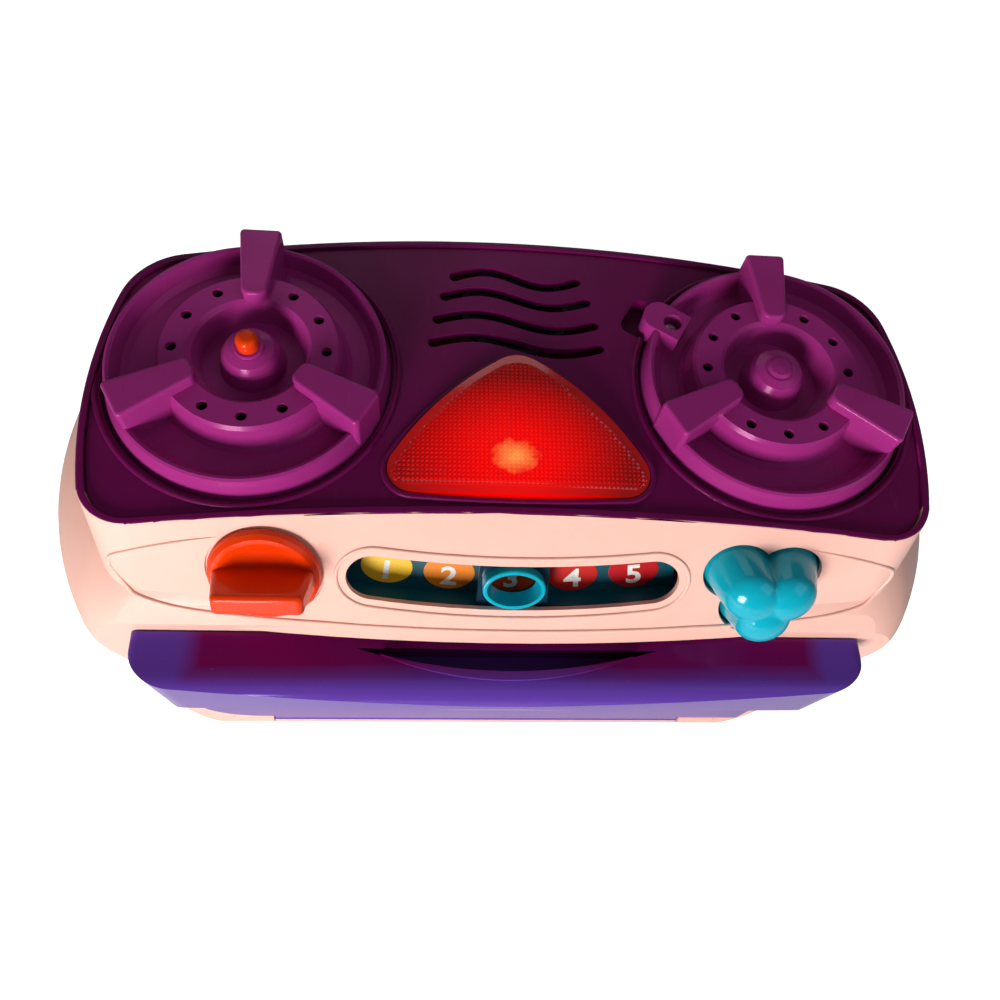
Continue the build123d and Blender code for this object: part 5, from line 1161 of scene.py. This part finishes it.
@dataclass
class Controls:
    """The turning knob and the three-lobed press button."""

    lobe_angles: Sequence[float] = (30.0, 150.0, 270.0)
    lobe_circle: float = 10.3 * MM
    lobe_radius: float = 11.4 * MM
    crown_radius: float = 9.8 * MM
    crown_z: float = 10.5 * MM
    crown_height: float = 6.4 * MM
    lean: float = 0.24
    trunk_sink: float = 4.0 * MM
    flange_radius: float = 13.2 * MM
    flange_thick: float = 2.0 * MM
    flange_z: float = -4.6 * MM
    stem_radius: float = 3.0 * MM
    stem_top: float = 4.0 * MM
    stem_foot: float = -16.5 * MM
    heart: tuple[float, float, float] = (0.0, -1.0 * MM, 8.0 * MM)
    heart_size: tuple[float, float, float] = (9.0 * MM, 8.5 * MM, 8.0 * MM)
    voxel: float = 0.55 * MM

    def build(self) -> None:
        """Dress the knob and model the button."""
        dress(["orange_knob"], ORANGE.material())
        finish_piece(self._button(), "lobed_button", "trefoil", TEAL.material(),
                     ["trefoil_button"])

    def _ball(self, centre: tuple[float, float, float], size: tuple[float, float, float]) -> bpy.types.Object:
        """An egg-shaped lump.

        Args:
            centre: Its centre.
            size: Its half-sizes.

        Returns:
            The object.
        """
        bpy.ops.object.select_all(action="DESELECT")
        bpy.ops.mesh.primitive_uv_sphere_add(segments=48, ring_count=32, radius=1.0)
        ball = bpy.context.active_object
        ball.data.transform(Matrix.Translation(centre) @ Matrix.Diagonal((*size, 1.0)))
        return ball

    def _drum(self, centre: tuple[float, float, float], radius: float, tall: float) -> bpy.types.Object:
        """An upright round drum.

        Args:
            centre: Its centre.
            radius: Its radius.
            tall: Its height.

        Returns:
            The object.
        """
        bpy.ops.object.select_all(action="DESELECT")
        bpy.ops.mesh.primitive_cylinder_add(vertices=64, radius=radius, depth=tall)
        drum = bpy.context.active_object
        drum.data.transform(Matrix.Translation(centre))
        return drum

    def _lobe(self, x: float, y: float) -> bpy.types.Object:
        """One tapering lobe that leans toward the middle and ends in a dome.

        Args:
            x: Its direction across.
            y: Its direction up the slope.

        Returns:
            The object.
        """
        tall = self.crown_z + self.trunk_sink
        bpy.ops.object.select_all(action="DESELECT")
        bpy.ops.mesh.primitive_cone_add(vertices=64, radius1=self.lobe_radius, radius2=self.crown_radius,
                                        depth=tall)
        trunk = bpy.context.active_object
        trunk.data.transform(Matrix.Translation((0.0, 0.0, self.crown_z - tall / 2)))
        dome_size = (self.crown_radius, self.crown_radius, self.crown_height)
        dome = self._ball((0.0, 0.0, self.crown_z), dome_size)
        leaning = Matrix(((1, 0, -x * self.lean, x * self.lobe_circle),
                          (0, 1, -y * self.lean, y * self.lobe_circle),
                          (0, 0, 1, 0), (0, 0, 0, 1)))
        for part in (trunk, dome):
            part.data.transform(leaning)
        return join([trunk, dome])

    def _button(self) -> bpy.types.Object:
        """Three lobes that lean together toward the top, on a hidden flange and stem.

        Returns:
            The object.
        """
        stem_middle = (self.stem_foot + self.stem_top) / 2
        lumps = [self._drum((0.0, 0.0, stem_middle), self.stem_radius, self.stem_top - self.stem_foot),
                 self._ball(self.heart, self.heart_size)]
        for angle in self.lobe_angles:
            x, y = math.cos(math.radians(angle)), math.sin(math.radians(angle))
            foot = (x * self.lobe_circle, y * self.lobe_circle, self.flange_z)
            lumps.append(self._lobe(x, y))
            lumps.append(self._drum(foot, self.flange_radius, self.flange_thick))
        button = join(lumps)
        settle(button)
        apply_modifier(button, "REMESH", mode="VOXEL", voxel_size=self.voxel)
        apply_modifier(button, "SMOOTH", factor=0.5, iterations=12)
        only(button)
        bpy.ops.object.shade_smooth()
        button.data.transform(LOBE_SEAT.matrix())
        return button


@dataclass
class Door:
    """The see-through door and its inner panel."""

    def build(self) -> None:
        """Dress the door."""
        dress(["door_shell"], DOOR_TINT.material())
        dress(["door_liner"], LINER_TINT.material())
        dress(["door_catch"], WHITE.material())


@dataclass
class Oven:
    """The oven box and its rack."""

    def build(self) -> None:
        """Dress both."""
        dress(["oven_liner"], OVEN_VIOLET.material())
        dress(["oven_rack"], SILVER.material())


@dataclass
class Works:
    """What lies inside: boards, speaker, cells, switches and fasteners."""

    metal: Sequence[str] = (
        "housing_screws", "base_screws", "hob_screws", "left_burner_screws", "burner_stop_screws",
        "burner_screw", "burner_button_spring", "right_burner_spring", "speaker_screws", "board_screws",
        "panel_screws", "strip_screws", "liner_screws", "hinge_pins", "knob_clip", "detent_spring",
        "battery_contacts", "battery_screw", "speaker_magnet",
    )
    dark: Sequence[str] = (
        "board_parts", "burner_switches", "panel_switches", "switch_body", "power_switch", "speaker_basket",
        "speaker_cone",
    )
    cap_length: float = 14.0 * MM

    def build(self) -> None:
        """Dress them."""
        dress(self.metal, STEEL.material())
        dress(self.dark, BLACK.material())
        dress(["circuit_board", "panel_board"], LAMINATE.material())
        dress(["battery_box"], WHITE.material())
        dress(["trefoil_spring_pad"], FOOT_RUBBER.material())
        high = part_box("aa_cells")[1]
        dress(["aa_cells"], CellWrap("cell_wrap", high.z - self.cap_length).material())


@dataclass(frozen=True)
class Lamp:
    """One soft square lamp that looks at the object."""

    name: str
    place: tuple[float, float, float]
    size: float
    power: float
    colour: Colour
    aim: tuple[float, float, float] = (0.0, 0.0, 0.15)

    def hang(self) -> None:
        """Hang the lamp."""
        data = bpy.data.lights.new(self.name, "AREA")
        data.size = self.size
        data.energy = self.power
        data.color = self.colour
        lamp = bpy.data.objects.new(self.name, data)
        bpy.context.scene.collection.objects.link(lamp)
        lamp.location = self.place
        lamp.rotation_mode = "QUATERNION"
        lamp.rotation_quaternion = (Vector(self.aim) - Vector(self.place)).to_track_quat("-Z", "Y")


@dataclass
class Studio:
    """Floor, lamps, world and camera."""

    lens_mm: float = 31.5
    eye: tuple[float, float, float] = (-0.0328, -0.1466, 0.5076)
    pitch: float = 65.5
    yaw: float = -12.18
    roll: float = -12.56
    floor_half: float = 6.0
    floor_glow: float = 0.82
    room_light: float = 0.13
    lamps: Sequence[Lamp] = (
        Lamp("key_lamp", (-0.55, -1.30, 0.48), 0.5, 25.0, (1.0, 0.97, 0.95)),
        Lamp("fill_lamp", (1.0, -0.6, 1.2), 1.0, 3.0, (0.85, 0.88, 1.0)),
        Lamp("back_lamp", (-0.1, 1.2, 1.1), 0.8, 2.0, (1.0, 1.0, 1.0)),
    )

    def camera(self) -> None:
        """Place the camera."""
        data = bpy.data.cameras.new("view_camera")
        data.lens = self.lens_mm
        data.sensor_width = 36.0
        data.clip_start = 0.02
        data.clip_end = 40.0
        camera = bpy.data.objects.new("view_camera", data)
        bpy.context.scene.collection.objects.link(camera)
        p, y, r = (math.radians(a) for a in (self.pitch, self.yaw, self.roll))
        turn = Matrix.Rotation(y, 3, "Z")
        forward = turn @ Vector((0, math.cos(p), -math.sin(p)))
        down = turn @ Vector((0, -math.sin(p), -math.cos(p)))
        across = turn @ Vector((1, 0, 0))
        right = math.cos(r) * across + math.sin(r) * down
        low = -math.sin(r) * across + math.cos(r) * down
        rows = Matrix((right, -low, -forward)).transposed()
        camera.matrix_world = Matrix.Translation(self.eye) @ rows.to_4x4()
        bpy.context.scene.camera = camera

    def floor(self) -> None:
        """Lay the pale floor."""
        bpy.ops.object.select_all(action="DESELECT")
        bpy.ops.mesh.primitive_plane_add(size=2 * self.floor_half)
        floor = bpy.context.active_object
        floor.name = "studio_floor"
        s = Shader("studio_white")
        paper = s.noise(s.place(), 6.0, 2.0, 0.5)
        seen = s.node("ShaderNodeLightPath", {}, {}, "Is Camera Ray")
        s.set(Base_Color=s.mix(paper, (0.86, 0.86, 0.86), (0.88, 0.88, 0.88)),
              Emission_Color=s.mix(seen, (0.0, 0.0, 0.0), (1.0, 1.0, 1.0)),
              Emission_Strength=self.floor_glow, Roughness=0.9, Specular_IOR_Level=0.1)
        floor.data.materials.append(s.material)

    def world(self) -> None:
        """Set the even light around the object."""
        world = bpy.data.worlds.new("studio_world")
        bpy.context.scene.world = world
        world.use_nodes = True
        tree = world.node_tree
        tree.nodes.clear()
        output = tree.nodes.new("ShaderNodeOutputWorld")
        path = tree.nodes.new("ShaderNodeLightPath")
        mix = tree.nodes.new("ShaderNodeMixShader")
        tree.links.new(path.outputs["Is Camera Ray"], mix.inputs[0])
        shades = (((1.0, 0.98, 0.96), self.room_light), ((1.0, 1.0, 1.0), 1.0))
        for socket, (colour, strength) in zip((mix.inputs[1], mix.inputs[2]), shades):
            shade = tree.nodes.new("ShaderNodeBackground")
            shade.inputs["Color"].default_value = (*colour, 1.0)
            shade.inputs["Strength"].default_value = strength
            tree.links.new(shade.outputs[0], socket)
        tree.links.new(mix.outputs[0], output.inputs["Surface"])

    def build(self) -> None:
        """Set up the studio."""
        self.floor()
        self.world()
        for lamp in self.lamps:
            lamp.hang()
        self.camera()
        bpy.context.scene.view_settings.view_transform = "Standard"


def main() -> None:
    """Build every sub-assembly in order."""
    logging.basicConfig(level=logging.INFO, format="%(name)s: %(message)s")
    parts = (Casing(), PanelRelief(), Hob(), LampLens(), NumberDial(), Controls(), Door(), Oven(), Works(),
             Studio())
    for part in parts:
        log.info("building %s", type(part).__name__)
        part.build()


if __name__ == "__main__":
    main()
